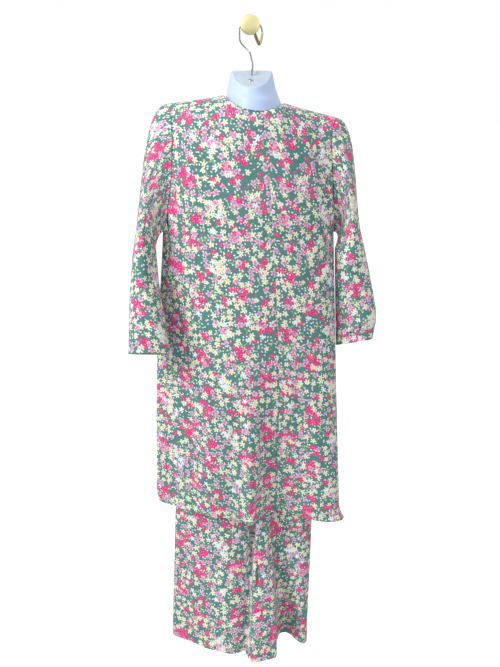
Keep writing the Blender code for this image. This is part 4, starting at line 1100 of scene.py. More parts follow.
def sew(name, grid, down, across, folds, sizes, closed=False, outward=1, anchor=0, neck=None):
    """One cut piece from its coarse grid: rows run from the hem up, columns across."""
    points = fine_grid(grid, down, across, closed)
    normals = grid_normals(points, closed) * outward
    heights = lengths_along(points, 0)
    lift = fold_lift(points, normals, folds, sizes.fold_share)
    lift += hem_waves(points, heights, HEM_WAVE_DEPTH * sizes.fold_share)
    widths = lengths_along(points, 1)
    if not closed:
        from_seam = np.minimum(widths, widths[:, -1:] - widths)
        lift -= SEAM_DIP_DEPTH * np.exp(-((from_seam / SEAM_DIP_REACH) ** 2))
    points = points + normals * lift[..., None]
    normals = grid_normals(points, closed) * outward
    outer, inner = points, points - normals * sizes.cloth_wall
    last = None
    if closed:
        last = np.linalg.norm(points[:, 0] - points[:, -1], axis=1)
    else:
        for layer in (outer, inner):
            for column, beside in ((0, 1), (-1, -2)):
                inwards = layer[:, beside] - layer[:, column]
                inwards /= np.linalg.norm(inwards, axis=1, keepdims=True)
                layer[:, column] += inwards * SEAM_GAP / 2
    flat = grain_map(widths, heights, last, anchor, PRINT_STARTS[name])
    at_neck = None
    if neck is not None:
        at_neck = np.zeros(points.shape[1], bool)
        at_neck[neck[0] * across : neck[1] * across + 1] = True
    stitch = stitch_distance(heights, sizes.hem_depth, at_neck)
    return cloth_object(name, outer, inner, flat, stitch, closed, cloth_materials())


def finish_piece(item, node):
    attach(item, "root")
    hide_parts(node)
    return item


# Node trees

class Tree:
    """Adds nodes to a tree and joins them."""

    def __init__(self, tree):
        self.tree = tree

    def add(self, kind, **settings):
        node = self.tree.nodes.new(kind)
        for name, value in settings.items():
            setattr(node, name, value)
        return node

    def put(self, socket, value):
        if isinstance(value, bpy.types.NodeSocket):
            self.tree.links.new(value, socket)
        else:
            socket.default_value = value

    def math(self, operation, *values):
        node = self.add("ShaderNodeMath", operation=operation)
        for socket, value in zip(node.inputs, values):
            self.put(socket, value)
        return node.outputs[0]

    def vector(self, operation, *values):
        node = self.add("ShaderNodeVectorMath", operation=operation)
        for socket, value in zip(node.inputs, values):
            self.put(socket, value)
        return node.outputs["Value" if operation == "LENGTH" else "Vector"]

    def mix(self, share, first, second):
        node = self.add("ShaderNodeMix", data_type="RGBA")
        for identifier, value in (("Factor_Float", share), ("A_Color", first), ("B_Color", second)):
            self.put(next(socket for socket in node.inputs if socket.identifier == identifier), value)
        return next(socket for socket in node.outputs if socket.identifier == "Result_Color")

    def smooth(self, value, low, high, to_low=0.0, to_high=1.0):
        node = self.add("ShaderNodeMapRange", interpolation_type="SMOOTHSTEP")
        for name, setting in (("Value", value), ("From Min", low), ("From Max", high)):
            self.put(node.inputs[name], setting)
        self.put(node.inputs["To Min"], to_low)
        self.put(node.inputs["To Max"], to_high)
        return node.outputs["Result"]

    def split(self, vector):
        node = self.add("ShaderNodeSeparateXYZ")
        self.put(node.inputs[0], vector)
        return node.outputs[0], node.outputs[1], node.outputs[2]

    def join(self, x, y, z=0.0):
        node = self.add("ShaderNodeCombineXYZ")
        for socket, value in zip(node.inputs, (x, y, z)):
            self.put(socket, value)
        return node.outputs[0]

    def noise(self, place, scale, detail=2.0):
        node = self.add("ShaderNodeTexNoise")
        self.put(node.inputs["Vector"], place)
        self.put(node.inputs["Scale"], scale)
        self.put(node.inputs["Detail"], detail)
        return node.outputs["Fac"]

    def group(self, tree, **values):
        node = self.add("ShaderNodeGroup", node_tree=tree)
        for name, value in values.items():
            self.put(node.inputs[name.replace("_", " ").capitalize()], value)
        return node.outputs


def new_group(name, inputs, outputs):
    """An empty shader node group with named sockets."""
    tree = bpy.data.node_groups.new(name, "ShaderNodeTree")
    for label, kind, default in inputs:
        socket = tree.interface.new_socket(label, in_out="INPUT", socket_type=f"NodeSocket{kind}")
        if default is not None:
            socket.default_value = default
    for label, kind in outputs:
        tree.interface.new_socket(label, in_out="OUTPUT", socket_type=f"NodeSocket{kind}")
    nodes = Tree(tree)
    return tree, nodes, nodes.add("NodeGroupInput").outputs, nodes.add("NodeGroupOutput").inputs


@lru_cache(maxsize=None)
def bunch_group():
    """Where one repeat of the print holds bright or pale bunches of flowers."""
    tree, nodes, given, result = new_group(
        "Flower bunches", [("Place", "Vector", None)], [("Bright", "Float"), ("Pale", "Float")]
    )
    right, up, _ = nodes.split(given["Place"])
    down = nodes.math("MULTIPLY", up, -1.0)
    upright = nodes.join(right, nodes.math("SUBTRACT", down, nodes.math("MULTIPLY", right, REPEAT_SLANT)))
    found = {False: None, True: None}
    for bunch in BUNCHES:
        centre = (bunch.right, bunch.down - bunch.right * REPEAT_SLANT, 0.0)
        away = nodes.vector("SUBTRACT", upright, centre)
        half = (REPEAT_ACROSS / 2, REPEAT_DOWN / 2, 1.0)
        near = nodes.vector("WRAP", away, half, tuple(-value for value in half))
        inside = nodes.math("LESS_THAN", nodes.vector("LENGTH", near), bunch.radius)
        before = found[bunch.pale]
        found[bunch.pale] = inside if before is None else nodes.math("MAXIMUM", before, inside)
    nodes.put(result["Bright"], found[False])
    nodes.put(result["Pale"], found[True])
    return tree


@lru_cache(maxsize=None)
def flower_group():
    """Loose five-petalled flowers: where they are, which kind each is and how far out from its eye."""
    tree, nodes, given, result = new_group(
        "Loose flowers",
        [
            ("Place", "Vector", None),
            ("Spacing", "Float", 0.017),
            ("Radius", "Float", 0.0074),
            ("Missing", "Float", 0.1),
            ("Bunched only", "Float", 0.0),
        ],
        [("Mask", "Float"), ("Kind", "Float"), ("Reach", "Float")],
    )
    cell = nodes.add("ShaderNodeTexVoronoi", voronoi_dimensions="2D", feature="F1")
    nodes.put(cell.inputs["Vector"], given["Place"])
    nodes.put(cell.inputs["Scale"], nodes.math("DIVIDE", 1.0, given["Spacing"]))
    nodes.put(cell.inputs["Randomness"], 0.8)
    centre = cell.outputs["Position"]
    kind, spin, luck = nodes.split(cell.outputs["Color"])
    local = nodes.vector("SUBTRACT", given["Place"], centre)
    x, y, _ = nodes.split(local)
    angle = nodes.math("ADD", nodes.math("ARCTAN2", y, x), nodes.math("MULTIPLY", spin, math.tau))
    petal = nodes.math("ABSOLUTE", nodes.math("COSINE", nodes.math("MULTIPLY", angle, 2.5)))
    shape = nodes.math("MULTIPLY_ADD", nodes.math("POWER", petal, 1.05), 0.76, 0.28)
    size = nodes.math("MULTIPLY_ADD", spin, 0.25, 0.87)
    edge = nodes.math("MULTIPLY", nodes.math("MULTIPLY", shape, size), given["Radius"])
    away = nodes.vector("LENGTH", local)
    inside = nodes.smooth(nodes.math("SUBTRACT", edge, away), -EDGE_BLUR, EDGE_BLUR)
    bunches = nodes.group(bunch_group(), place=centre)
    bright, pale = bunches["Bright"], bunches["Pale"]
    bunched = nodes.math("MAXIMUM", bright, pale)
    loose = nodes.math("MULTIPLY", nodes.math("GREATER_THAN", luck, given["Missing"]),
                       nodes.math("SUBTRACT", 1.0, given["Bunched only"]))
    shown = nodes.math("MAXIMUM", bunched, loose)
    only_pale = nodes.math("MULTIPLY", pale, nodes.math("SUBTRACT", 1.0, bright))
    zone = nodes.math("MULTIPLY_ADD", only_pale, 2.0, bright)
    nodes.put(result["Mask"], nodes.math("MULTIPLY", inside, shown))
    nodes.put(result["Kind"], nodes.math("DIVIDE", nodes.math("MULTIPLY_ADD", kind, 0.998, zone), 3.0))
    nodes.put(result["Reach"], nodes.math("DIVIDE", away, edge))
    return tree


# Where each kind of flower starts: plain ground first, then bright bunches, then pale ones. The
# masks are hot pink, pink and white, and none of them is cream.
KINDS = (
    (0.000, (0, 0, 0)), (0.185, (0, 1, 0)), (0.292, (1, 0, 0)), (0.310, (0, 0, 1)),
    (0.334, (0, 0, 0)), (0.392, (0, 1, 0)), (0.460, (1, 0, 0)), (0.645, (0, 0, 1)),
    (0.667, (0, 0, 0)), (0.790, (0, 1, 0)), (0.870, (0, 0, 1)),
)


def flower_colour(nodes, given, flowers):
    """The colour of a flower from its kind, with paler or deeper petal tips."""
    ramp = nodes.add("ShaderNodeValToRGB")
    ramp.color_ramp.interpolation = "CONSTANT"
    stops = ramp.color_ramp.elements
    while len(stops) < len(KINDS):
        stops.new(0.5)
    for stop, (start, masks) in zip(stops, KINDS):
        stop.position = start
        stop.color = (*masks, 1)
    nodes.put(ramp.inputs[0], flowers["Kind"])
    hot, pink, white = nodes.split(ramp.outputs["Color"])
    tip = nodes.smooth(flowers["Reach"], 0.30, 0.85)
    eye = nodes.smooth(flowers["Reach"], 0.30, 0.12)
    pink_petal = nodes.mix(tip, given["Pink"], given["Pink tip"])
    cream_petal = nodes.mix(eye, given["Cream"], given["Leaf"])
    hot_petal = nodes.mix(nodes.math("MULTIPLY", eye, 0.55), given["Hot pink"], given["Pink tip"])
    colour = nodes.mix(pink, cream_petal, pink_petal)
    colour = nodes.mix(hot, colour, hot_petal)
    return nodes.mix(white, colour, given["White"])


def scattered(nodes, place, spacing):
    """Points scattered over the cloth: each place seen from its nearest point, and that point's luck."""
    cell = nodes.add("ShaderNodeTexVoronoi", voronoi_dimensions="2D", feature="F1")
    nodes.put(cell.inputs["Vector"], place)
    nodes.put(cell.inputs["Scale"], 1 / spacing)
    local = nodes.vector("SUBTRACT", place, cell.outputs["Position"])
    return local, nodes.split(cell.outputs["Color"])


def sprig_mask(nodes, place):
    """Three-leaved sprigs, which more than half of the scattered points hold."""
    local, (luck, spin, _) = scattered(nodes, place, SPRIG_SPACING)
    x, y, _ = nodes.split(local)
    angle = nodes.math("MULTIPLY_ADD", spin, math.tau, nodes.math("ARCTAN2", y, x))
    blade = nodes.math("ABSOLUTE", nodes.math("COSINE", nodes.math("MULTIPLY", angle, 1.5)))
    edge = nodes.math("MULTIPLY", nodes.math("POWER", blade, 7.0), SPRIG_LENGTH)
    away = nodes.vector("LENGTH", local)
    leaves = nodes.smooth(nodes.math("SUBTRACT", edge, away), -EDGE_BLUR, EDGE_BLUR)
    return nodes.math("MULTIPLY", leaves, nodes.math("GREATER_THAN", luck, 0.45))


def loose_petals(nodes, given):
    """Small loose petals: where they are and their colours."""
    local, (luck, spin, tone) = scattered(nodes, given["Place"], PETAL_SPACING)
    turned = nodes.add("ShaderNodeVectorRotate", rotation_type="Z_AXIS")
    nodes.put(turned.inputs["Vector"], local)
    nodes.put(turned.inputs["Angle"], nodes.math("MULTIPLY", spin, math.tau))
    slim = nodes.vector("MULTIPLY", turned.outputs[0], (1.0, PETAL_SLIMNESS, 1.0))
    away = nodes.vector("LENGTH", slim)
    mask = nodes.smooth(away, PETAL_HALF_LENGTH + 0.0003, PETAL_HALF_LENGTH - 0.0003)
    mask = nodes.math("MULTIPLY", mask, nodes.math("GREATER_THAN", luck, 0.30))
    colour = given["White"]
    for start, label in ((0.40, "Pink tip"), (0.72, "Cream"), (0.93, "Hot pink")):
        colour = nodes.mix(nodes.math("GREATER_THAN", tone, start), colour, given[label])
    return mask, colour


@lru_cache(maxsize=None)
def print_group():
    """The flowered print of the cloth, laid out in metres."""
    colours = [("Ground", GROUND), ("Cream", CREAM), ("Pink", PINK), ("Pink tip", PINK_TIP)]
    colours += [("Hot pink", HOT_PINK), ("White", WHITE), ("Leaf", LEAF)]
    tree, nodes, given, result = new_group(
        "Flowered print",
        [("Place", "Vector", None)] + [(label, "Color", (*colour, 1)) for label, colour in colours],
        [("Color", "Color")],
    )
    place = given["Place"]
    cloud = nodes.noise(place, 55.0)
    colour = nodes.mix(nodes.smooth(cloud, 0.35, 0.65, 0.0, 0.16), given["Ground"], (*DEEP_GROUND, 1))
    colour = nodes.mix(nodes.math("MULTIPLY", sprig_mask(nodes, place), 0.85), colour, given["Leaf"])
    petals, petal_colour = loose_petals(nodes, given)
    colour = nodes.mix(petals, colour, petal_colour)
    for layer in FLOWER_LAYERS:
        flowers = nodes.group(flower_group(), place=place, **layer._asdict())
        colour = nodes.mix(flowers["Mask"], colour, flower_colour(nodes, given, flowers))
    nodes.put(result["Color"], colour)
    return tree


@lru_cache(maxsize=None)
def weave_group():
    """A fine plain weave with soft crumples: height for the bump, and a little shade."""
    tree, nodes, given, result = new_group(
        "Plain weave",
        [("Place", "Vector", None), ("Thread", "Float", THREAD_WIDTH), ("Stitch", "Float", 1.0)],
        [("Height", "Float"), ("Shade", "Float"), ("Seam line", "Float")],
    )
    right, up, _ = nodes.split(given["Place"])
    turn = nodes.math("DIVIDE", math.pi, given["Thread"])
    warp = nodes.math("SINE", nodes.math("MULTIPLY", right, turn))
    weft = nodes.math("SINE", nodes.math("MULTIPLY", up, turn))
    threads = nodes.math("MULTIPLY", nodes.math("MULTIPLY", warp, weft), 0.10)
    crumple = nodes.noise(given["Place"], 26.0, 3.0)
    away = nodes.math("ABSOLUTE", given["Stitch"])
    groove = nodes.smooth(away, 0.0022, 0.0)
    dash = nodes.math("SINE", nodes.math("MULTIPLY", right, math.tau / STITCH_LENGTH))
    line = nodes.math("MULTIPLY", nodes.smooth(away, 0.0007, 0.0003), nodes.math("GREATER_THAN", dash, -0.2))
    height = nodes.math("MULTIPLY_ADD", crumple, 1.0, threads)
    height = nodes.math("SUBTRACT", height, nodes.math("MULTIPLY", groove, 0.35))
    nodes.put(result["Height"], nodes.math("MULTIPLY_ADD", line, 0.12, height))
    nodes.put(result["Shade"], nodes.math("MULTIPLY_ADD", crumple, 0.10, nodes.math("MULTIPLY", threads, 0.3)))
    nodes.put(result["Seam line"], line)
    return tree


@lru_cache(maxsize=None)
def marks_group():
    """Faint mould marks and rub marks of a hard surface."""
    tree, nodes, given, result = new_group(
        "Light wear",
        [("Place", "Vector", None), ("Grain", "Float", 40.0)],
        [("Wear", "Float"), ("Height", "Float")],
    )
    cloud = nodes.noise(given["Place"], given["Grain"], 4.0)
    fine = nodes.noise(given["Place"], nodes.math("MULTIPLY", given["Grain"], 9.0), 2.0)
    nodes.put(result["Wear"], nodes.smooth(cloud, 0.42, 0.70))
    nodes.put(result["Height"], nodes.math("MULTIPLY_ADD", fine, 0.3, cloud))
    return tree


# Materials

GROUND = (0.100, 0.258, 0.240)
DEEP_GROUND = (0.05, 0.17, 0.14)
FOLD_SHADE = (0.02, 0.05, 0.05)
CREAM = (0.930, 0.885, 0.680)
PINK = (0.760, 0.160, 0.430)
PINK_TIP = (0.890, 0.640, 0.800)
HOT_PINK = (0.900, 0.022, 0.235)
WHITE = (0.850, 0.910, 0.960)
LEAF = (0.400, 0.680, 0.240)
# Painted shade colour for the prong's arm that lies behind the knob
PRONG_PAINTED_SHADE = (0.16, 0.11, 0.04)

# Hard surfaces: worn is the colour where they are rubbed, and grain the scale of the marks
Finish = namedtuple("Finish", "name colour worn roughness metallic grain")
# The cap is the form's plastic made darker and greyer: painted shade for the slanted cap, which faces up, away
# from the light
CAP_PAINTED_SHADE_FINISH = Finish("grey cap", (0.50, 0.58, 0.68), (0.44, 0.52, 0.62), 0.42, 0.0, 60.0)
SCREW_FINISH = Finish("bright metal", (0.46, 0.50, 0.55), (0.38, 0.42, 0.47), 0.16, 1.0, 90.0)
SLOT_FINISH = Finish("shaded recess", (0.05, 0.06, 0.07), (0.04, 0.05, 0.06), 0.60, 0.0, 90.0)
WIRE_FINISH = Finish("bright wire", (0.36, 0.34, 0.35), (0.24, 0.23, 0.24), 0.20, 1.0, 120.0)
FORM_FINISH = Finish("pale blue plastic", (0.500, 0.625, 0.890), (0.47, 0.59, 0.85), 0.42, 0.0, 14.0)
BRASS_FINISH = Finish("satin brass", (0.990, 0.920, 0.500), (0.90, 0.80, 0.40), 0.34, 1.0, 70.0)


def new_material(name):
    material = bpy.data.materials.new(name)
    material.use_nodes = True
    return material, Tree(material.node_tree), material.node_tree.nodes["Principled BSDF"].inputs


def add_bump(nodes, shader, height, strength, distance):
    bump = nodes.add("ShaderNodeBump")
    bump.inputs["Strength"].default_value = strength
    bump.inputs["Distance"].default_value = distance
    nodes.put(bump.inputs["Height"], height)
    nodes.put(shader["Normal"], bump.outputs["Normal"])


def cloth_material(name, wrong_side):
    """The flowered cloth, or its paler wrong side."""
    colours = bpy.context.scene.garment_colours
    material, nodes, shader = new_material(name)
    grain = nodes.add("ShaderNodeUVMap", uv_map="Cloth grain").outputs["UV"]
    stitch = nodes.add("ShaderNodeAttribute", attribute_name="stitch").outputs["Fac"]
    printed = nodes.group(
        print_group(),
        place=grain,
        ground=(*colours.ground, 1),
        cream=(*colours.cream, 1),
        pink=(*colours.pink, 1),
        pink_tip=(*colours.pink_tip, 1),
        hot_pink=(*colours.hot_pink, 1),
        white=(*colours.white, 1),
        leaf=(*colours.leaf, 1),
    )["Color"]
    weave = nodes.group(weave_group(), place=grain, stitch=stitch)
    if wrong_side:
        printed = nodes.mix(0.62, printed, (*colours.wrong_side, 1))
    shaded = nodes.mix(weave["Shade"], printed, (*FOLD_SHADE, 1))
    shaded = nodes.mix(nodes.math("MULTIPLY", weave["Seam line"], 0.35), shaded, (*colours.ground, 1))
    nodes.put(shader["Base Color"], shaded)
    nodes.put(shader["Roughness"], nodes.math("MULTIPLY_ADD", weave["Shade"], -0.5, 0.86))
    shader["Sheen Weight"].default_value = 0.12
    shader["Sheen Roughness"].default_value = 0.5
    shader["Specular IOR Level"].default_value = 0.30
    add_bump(nodes, shader, weave["Height"], 0.45, 0.0016)
    return material


@lru_cache(maxsize=None)
def cloth_materials():
    return cloth_material("flowered cloth", False), cloth_material("flowered cloth wrong side", True)


def hard_material(finish):
    """A moulded or polished surface with faint marks."""
    material, nodes, shader = new_material(finish.name)
    place = nodes.add("ShaderNodeTexCoord").outputs["Object"]
    marks = nodes.group(marks_group(), place=place, grain=finish.grain)
    nodes.put(shader["Base Color"], nodes.mix(marks["Wear"], (*finish.colour, 1), (*finish.worn, 1)))
    nodes.put(shader["Roughness"], nodes.math("MULTIPLY_ADD", marks["Wear"], 0.10, finish.roughness))
    shader["Metallic"].default_value = finish.metallic
    add_bump(nodes, shader, marks["Height"], 0.12, 0.0004)
    return material


def prong_material(brass):
    """The prong's brass, darkened by painted shade on the arm that lies behind the knob, a little less where the
    rub marks fall.
    """
    material, nodes, shader = new_material("tarnished brass")
    place = nodes.add("ShaderNodeTexCoord").outputs["Object"]
    right, _, _ = nodes.split(place)
    marks = nodes.group(marks_group(), place=place, grain=180.0)
    # Painted shade: the arm left of the knob's middle is darkened towards the shade colour, eased a little by the
    # rub marks
    dark = nodes.math("MULTIPLY", nodes.smooth(right, 0.0225, 0.0200), 0.90)
    dark = nodes.math("MULTIPLY_ADD", marks["Wear"], -0.10, dark)
    nodes.put(shader["Base Color"], nodes.mix(dark, (*brass, 1), (*PRONG_PAINTED_SHADE, 1)))
    shader["Metallic"].default_value = 1.0
    shader["Roughness"].default_value = 0.34
    add_bump(nodes, shader, marks["Height"], 0.12, 0.0004)
    return material


# Coarse grids of the pieces

TUNIC_ROWS = list(TUNIC_HEIGHTS) + [1 + rise for rise in YOKE_RISES]


def tunic_grid(places, near):
    """The body's points from the hem to the shoulders and neck."""
    grid = []
    for height in TUNIC_ROWS:
        row = []
        for place in places:
            point = tunic_point(place, height, near)
            on_shoulder = place <= BACK_NECK_FROM or BACK_NECK_TO <= place <= FRONT_NECK_FROM
            if height == 2 and (on_shoulder or place >= FRONT_NECK_TO):
                point = point + np.array((0, -SEAM_GAP if near else SEAM_GAP, 0))
            row.append(point)
        grid.append(row)
    return grid


def sleeve_grid(side):
    """A sleeve's points from the cuff up to the armhole, round from the middle of its hidden side."""
    troughs = LEFT_TROUGHS if side == "left" else RIGHT_TROUGHS
    shares = (0, 0.03, 0.08, 0.14, 0.21, 0.28, 0.35, 0.42, 0.5, 0.58, 0.66, 0.74, 0.82, 0.88, 0.94, 1)
    grid = []
    for along in reversed(shares):
        row = []
        for place in columns_between(9, 20.5, 0.5):
            outwards = sleeve_outwards(side, along, place)
            point = sleeve_point(side, along, place)
            row.append(point - outwards * trough_depth(troughs, along, place % 12))
        grid.append(row)
    return grid


def skirt_grid(places):
    """The skirt's points from the hem to the waist."""
    drops = [float(towards(SKIRT_DROPS[0], SKIRT_DROPS[-1], share)) for share in reversed(SKIRT_ROWS)]
    return [[skirt_body(place, drop) for place in places] for drop in drops]


def waistband_grid():
    """The waistband's points round the form's waist, from its lower edge up."""
    drops = (WAIST_DROP + WAISTBAND_HEIGHT, WAIST_DROP + WAISTBAND_HEIGHT / 2, WAIST_DROP)
    levels = [FORM_ROWS[4]._replace(drop=drop) for drop in drops]
    held = np.array([[form_level(level, place) for place in ring_places()] for level in levels])
    along = np.roll(held, -1, 1) - np.roll(held, 1, 1)
    away = np.stack((along[..., 1], -along[..., 0], np.zeros(along.shape[:2])), -1)
    away /= np.linalg.norm(away, axis=2, keepdims=True)
    return held + away * WAISTBAND_WALL


def soften_form(item):
    """Rounds the form between its rings, but keeps the rim of its cap."""
    rim = set(item.data.polygons[-1].edge_keys)
    creases = item.data.attributes.new("crease_edge", "FLOAT", "EDGE")
    creases.data.foreach_set("value", [0.85 if edge.key in rim else 0.0 for edge in item.data.edges])
    soften = item.modifiers.new("moulded roundness", "SUBSURF")
    soften.levels = soften.render_levels = 2


# Sizes and colours

class GarmentSizes(bpy.types.PropertyGroup):
    cloth_wall: bpy.props.FloatProperty(
        name="Cloth thickness", description="Thickness of the sewn cloth", default=0.0013,
        min=0.001, max=0.003, precision=4, unit="LENGTH",
    )
    fold_share: bpy.props.FloatProperty(
        name="Fold depth", description="How deep the folds are, as a share of the worn garment's",
        default=1.35, min=0.0, max=2.0, subtype="FACTOR",
    )
    hem_depth: bpy.props.FloatProperty(
        name="Hem depth", description="Height of the turned hem's stitch line", default=0.020,
        min=0.005, max=0.05, precision=3, unit="LENGTH",
    )
    floor_drop: bpy.props.FloatProperty(
        name="Floor below the hook", description="How far the floor lies below the wall hook",
        default=1.78, min=1.6, max=2.5, unit="LENGTH",
    )


def colour_setting(label, use, default):
    return bpy.props.FloatVectorProperty(
        name=label, description=use, default=default, min=0.0, max=1.0, size=3, subtype="COLOR"
    )


class GarmentColours(bpy.types.PropertyGroup):
    ground: colour_setting("Ground", "Teal ground of the print", GROUND)
    cream: colour_setting("Cream flowers", "Petals of the cream flowers", CREAM)
    pink: colour_setting("Pink flowers", "Hearts of the pink flowers", PINK)
    pink_tip: colour_setting("Pink tips", "Petal tips of the pink flowers", PINK_TIP)
    hot_pink: colour_setting("Hot pink flowers", "Petals of the hot pink flowers", HOT_PINK)
    white: colour_setting("White flowers", "Petals of the white flowers", WHITE)
    leaf: colour_setting("Sprigs", "Leaf green of the sprigs", LEAF)
    wrong_side: colour_setting("Wrong side", "Pale tone of the cloth's wrong side", (0.55, 0.53, 0.45))
    plastic: colour_setting("Form", "Moulded plastic of the form", FORM_FINISH.colour)
    brass: colour_setting("Brass", "Brass of the wall hook", BRASS_FINISH.colour)


# Pieces

class GarmentTunic(bpy.types.Operator):
    """Sew the tunic's two back panels and its front"""

    bl_idname = "garment.tunic"
    bl_label = "Tunic"

    def execute(self, context):
        sizes = context.scene.garment_sizes
        left = [place for place in NEAR_COLUMNS if place <= BACK_SEAM]
        right = [place for place in NEAR_COLUMNS if place >= BACK_SEAM]
        neck = (left.index(BACK_NECK_FROM), len(left) - 1)
        item = sew("sewn_tunic_back_left", tunic_grid(left, True), 6, 10, TUNIC_FOLDS, sizes,
                   anchor=1, neck=neck)
        finish_piece(item, "tunic_back_left")
        neck = (0, right.index(BACK_NECK_TO))
        item = sew("sewn_tunic_back_right", tunic_grid(right, True), 6, 9, TUNIC_FOLDS, sizes,
                   neck=neck)
        finish_piece(item, "tunic_back_right")
        neck = (FAR_COLUMNS.index(FRONT_NECK_FROM), FAR_COLUMNS.index(FRONT_NECK_TO))
        item = sew("sewn_tunic_front", tunic_grid(FAR_COLUMNS, False), 6, 6, HIDDEN_FOLDS, sizes,
                   anchor=0.5, neck=neck)
        finish_piece(item, "tunic_front")
        return {"FINISHED"}


class GarmentSleeves(bpy.types.Operator):
    """Sew the two long sleeves"""

    bl_idname = "garment.sleeves"
    bl_label = "Sleeves"

    def execute(self, context):
        sizes = context.scene.garment_sizes
        folds = SLEEVE_FOLDS + HIDDEN_SLEEVE_FOLDS
        for side, outward in (("left", 1), ("right", -1)):
            item = sew(f"sewn_sleeve_{side}", sleeve_grid(side), 9, 6, folds, sizes,
                       closed=True, outward=outward, anchor=0.5)
            finish_piece(item, f"sleeve_{side}")
        return {"FINISHED"}


class GarmentSkirt(bpy.types.Operator):
    """Sew the skirt's three panels and its waistband"""

    bl_idname = "garment.skirt"
    bl_label = "Skirt"

    def execute(self, context):
        sizes = context.scene.garment_sizes
        folds = SKIRT_FOLDS + HIDDEN_SKIRT_FOLDS
        left = columns_between(SKIRT_LEFT_SEAM, SKIRT_BACK_SEAM, 0.25)
        item = sew("sewn_skirt_back_left", skirt_grid(left), 9, 6, folds, sizes, anchor=1)
        finish_piece(item, "skirt_back_left")
        right = columns_between(SKIRT_BACK_SEAM, SKIRT_RIGHT_SEAM, 0.25)
        item = sew("sewn_skirt_back_right", skirt_grid(right), 9, 4, folds, sizes)
        finish_piece(item, "skirt_back_right")
        front = columns_between(SKIRT_RIGHT_SEAM, len(SKIRT_PLACES), 0.25)
        item = sew("sewn_skirt_front", skirt_grid(front), 8, 6, folds, sizes, anchor=0.5)
        finish_piece(item, "skirt_front")
        item = sew("sewn_waistband", waistband_grid(), 4, 4, (), sizes, closed=True)
        finish_piece(item, "skirt_waistband")
        return {"FINISHED"}


class GarmentForm(bpy.types.Operator):
    """Mould the hanging torso form and set the screw on its cap"""

    bl_idname = "garment.form"
    bl_label = "Torso form"

    def execute(self, context):
        colours = context.scene.garment_colours
        plastic = hard_material(FORM_FINISH._replace(colour=tuple(colours.plastic)))
        item = torso_form(plastic)
        # The cap's face gets the plastic with painted shade
        item.data.materials.append(hard_material(CAP_PAINTED_SHADE_FINISH))
        item.data.polygons[-1].material_index = 1
        soften_form(item)
        finish_piece(item, "torso_form")
        base, normal = cap_point(*CAP_SCREW, above=SEAM_GAP)
        tilt = (math.atan2(-normal[1], normal[2]), 0, 0)
        screw = lathe("screw_head", SCREW_PROFILE, 40, hard_material(SCREW_FINISH))
        slot_cut = lathe("screw_slot", SLOT_PROFILE, 24, hard_material(SLOT_FINISH))
        for piece in (screw, slot_cut):
            piece.location = tuple(base)
            piece.rotation_euler = tilt
        finish_piece(screw, "neck_screw")
        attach(slot_cut, "root")
        return {"FINISHED"}


class GarmentHooks(bpy.types.Operator):
    """Bend the wire hook and turn the wall hook it hangs on"""

    bl_idname = "garment.hooks"
    bl_label = "Hooks"

    def execute(self, context):
        colours = context.scene.garment_colours
        finish_piece(wire_hook(hard_material(WIRE_FINISH)), "wire_hook")
        brass = hard_material(BRASS_FINISH._replace(colour=tuple(colours.brass)))
        body = lathe("turned_wall_hook", WALL_HOOK_PROFILE, 96, brass, towards_room=True)
        finish_piece(body, "wall_hook")
        # The prong's material carries painted shade on its arm behind the knob
        prong = wall_prong(prong_material(tuple(colours.brass)))
        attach(prong, "root")
        return {"FINISHED"}


# Stage

StageLight = namedtuple("StageLight", "name place turn size power")
LIGHTS = (
    StageLight("soft key", (-2.1, -1.7, 0.9), (58, 0, -51), 1.1, 62.0),
    StageLight("soft fill", (1.8, -2.2, -0.2), (82, 0, 39), 1.8, 6.0),
)
WORLD_STRENGTH = 0.88
FLOOR_REACH = 60
FLOOR_TONES = ((0.93, 0.93, 0.93, 1), (0.96, 0.96, 0.96, 1))
FLOOR_BOUNCE = (0.42, 0.42, 0.43, 1)
FLOOR_GLOW = 0.30
CAMERA_LENS, CAMERA_SENSOR = 43.2, 36.0
CAMERA_PLACE, CAMERA_TILT = (0.0, -1.854, -0.162), 74.0


def floor_material():
    """A pale floor, which glows a little towards the camera and bounces little light."""
    material, nodes, shader = new_material("pale floor")
    place = nodes.add("ShaderNodeTexCoord").outputs["Object"]
    direct = nodes.add("ShaderNodeLightPath").outputs["Is Camera Ray"]
    pale = nodes.mix(nodes.noise(place, 3.0), *FLOOR_TONES)
    nodes.put(shader["Base Color"], nodes.mix(direct, FLOOR_BOUNCE, pale))
    shader["Roughness"].default_value = 0.9
    shader["Specular IOR Level"].default_value = 0.1
    shader["Emission Color"].default_value = (1, 1, 1, 1)
    nodes.put(shader["Emission Strength"], nodes.math("MULTIPLY", direct, FLOOR_GLOW))
    return material


def pale_world():
    """An even pale light from all round, with a white backdrop for the camera."""
    world = bpy.data.worlds.new("pale studio")
    world.use_nodes = True
    nodes = Tree(world.node_tree)
    background = world.node_tree.nodes["Background"]
    background.inputs["Color"].default_value = (1, 1, 1, 1)
    background.inputs["Strength"].default_value = WORLD_STRENGTH
    backdrop = nodes.add("ShaderNodeBackground")
    backdrop.inputs["Color"].default_value = (1, 1, 1, 1)
    blend = nodes.add("ShaderNodeMixShader")
    nodes.put(blend.inputs[0], nodes.add("ShaderNodeLightPath").outputs["Is Camera Ray"])
    nodes.put(blend.inputs[1], background.outputs[0])
    nodes.put(blend.inputs[2], backdrop.outputs[0])
    nodes.put(world.node_tree.nodes["World Output"].inputs["Surface"], blend.outputs[0])
    return world


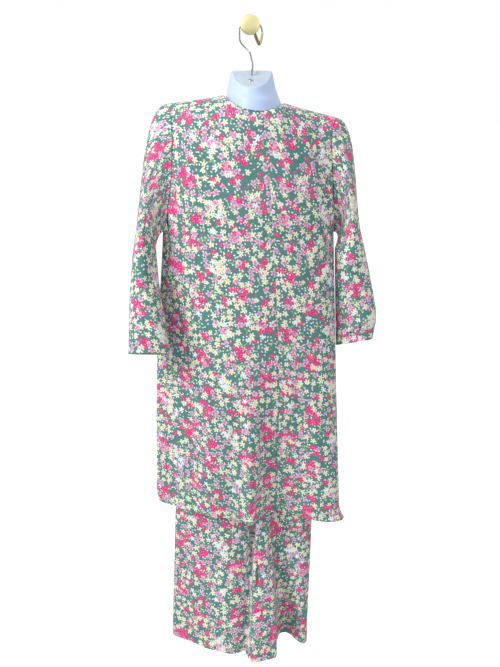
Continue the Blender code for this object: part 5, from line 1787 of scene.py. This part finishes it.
class GarmentStage(bpy.types.Operator):
    """Set the pale floor, the soft lights and the camera"""

    bl_idname = "garment.stage"
    bl_label = "Stage"

    def execute(self, context):
        scene = context.scene
        level = -scene.garment_sizes.floor_drop
        corners = ((-1, -1), (1, -1), (1, 1), (-1, 1))
        mesh = bpy.data.meshes.new("floor")
        mesh.from_pydata([(x * FLOOR_REACH, y * FLOOR_REACH, level) for x, y in corners], [], [(0, 1, 2, 3)])
        mesh.materials.append(floor_material())
        floor = bpy.data.objects.new("floor", mesh)
        scene.collection.objects.link(floor)
        scene.world = pale_world()
        for row in LIGHTS:
            light = bpy.data.lights.new(row.name, "AREA")
            light.size = row.size
            light.energy = row.power
            lamp = bpy.data.objects.new(row.name, light)
            lamp.location = row.place
            lamp.rotation_euler = tuple(math.radians(value) for value in row.turn)
            scene.collection.objects.link(lamp)
        lens = bpy.data.cameras.new("camera")
        lens.lens = CAMERA_LENS
        lens.sensor_width = CAMERA_SENSOR
        camera = bpy.data.objects.new("camera", lens)
        camera.location = CAMERA_PLACE
        camera.rotation_euler = (math.radians(CAMERA_TILT), 0.0, 0.0)
        scene.collection.objects.link(camera)
        scene.camera = camera
        scene.view_settings.view_transform = "Standard"
        return {"FINISHED"}


OPERATORS = (GarmentTunic, GarmentSleeves, GarmentSkirt, GarmentForm, GarmentHooks, GarmentStage)


class GarmentPanel(bpy.types.Panel):
    """The garment's sizes, colours and build steps"""

    bl_label = "Baju kurung set"
    bl_idname = "VIEW3D_PT_garment"
    bl_space_type = "VIEW_3D"
    bl_region_type = "UI"
    bl_category = "Garment"

    def draw(self, context):
        scene = context.scene
        for settings in (scene.garment_sizes, scene.garment_colours):
            column = self.layout.column(align=True)
            for name in settings.__annotations__:
                column.prop(settings, name)
        for operator in OPERATORS:
            self.layout.operator(operator.bl_idname)


CLASSES = (GarmentSizes, GarmentColours, *OPERATORS, GarmentPanel)


def register():
    for item in CLASSES:
        bpy.utils.register_class(item)
    bpy.types.Scene.garment_sizes = bpy.props.PointerProperty(type=GarmentSizes)
    bpy.types.Scene.garment_colours = bpy.props.PointerProperty(type=GarmentColours)


def unregister():
    del bpy.types.Scene.garment_colours
    del bpy.types.Scene.garment_sizes
    for item in reversed(CLASSES):
        bpy.utils.unregister_class(item)


def main():
    register()
    bpy.ops.garment.tunic()
    bpy.ops.garment.sleeves()
    bpy.ops.garment.skirt()
    bpy.ops.garment.form()
    bpy.ops.garment.hooks()
    bpy.ops.garment.stage()


if __name__ == "__main__":
    main()
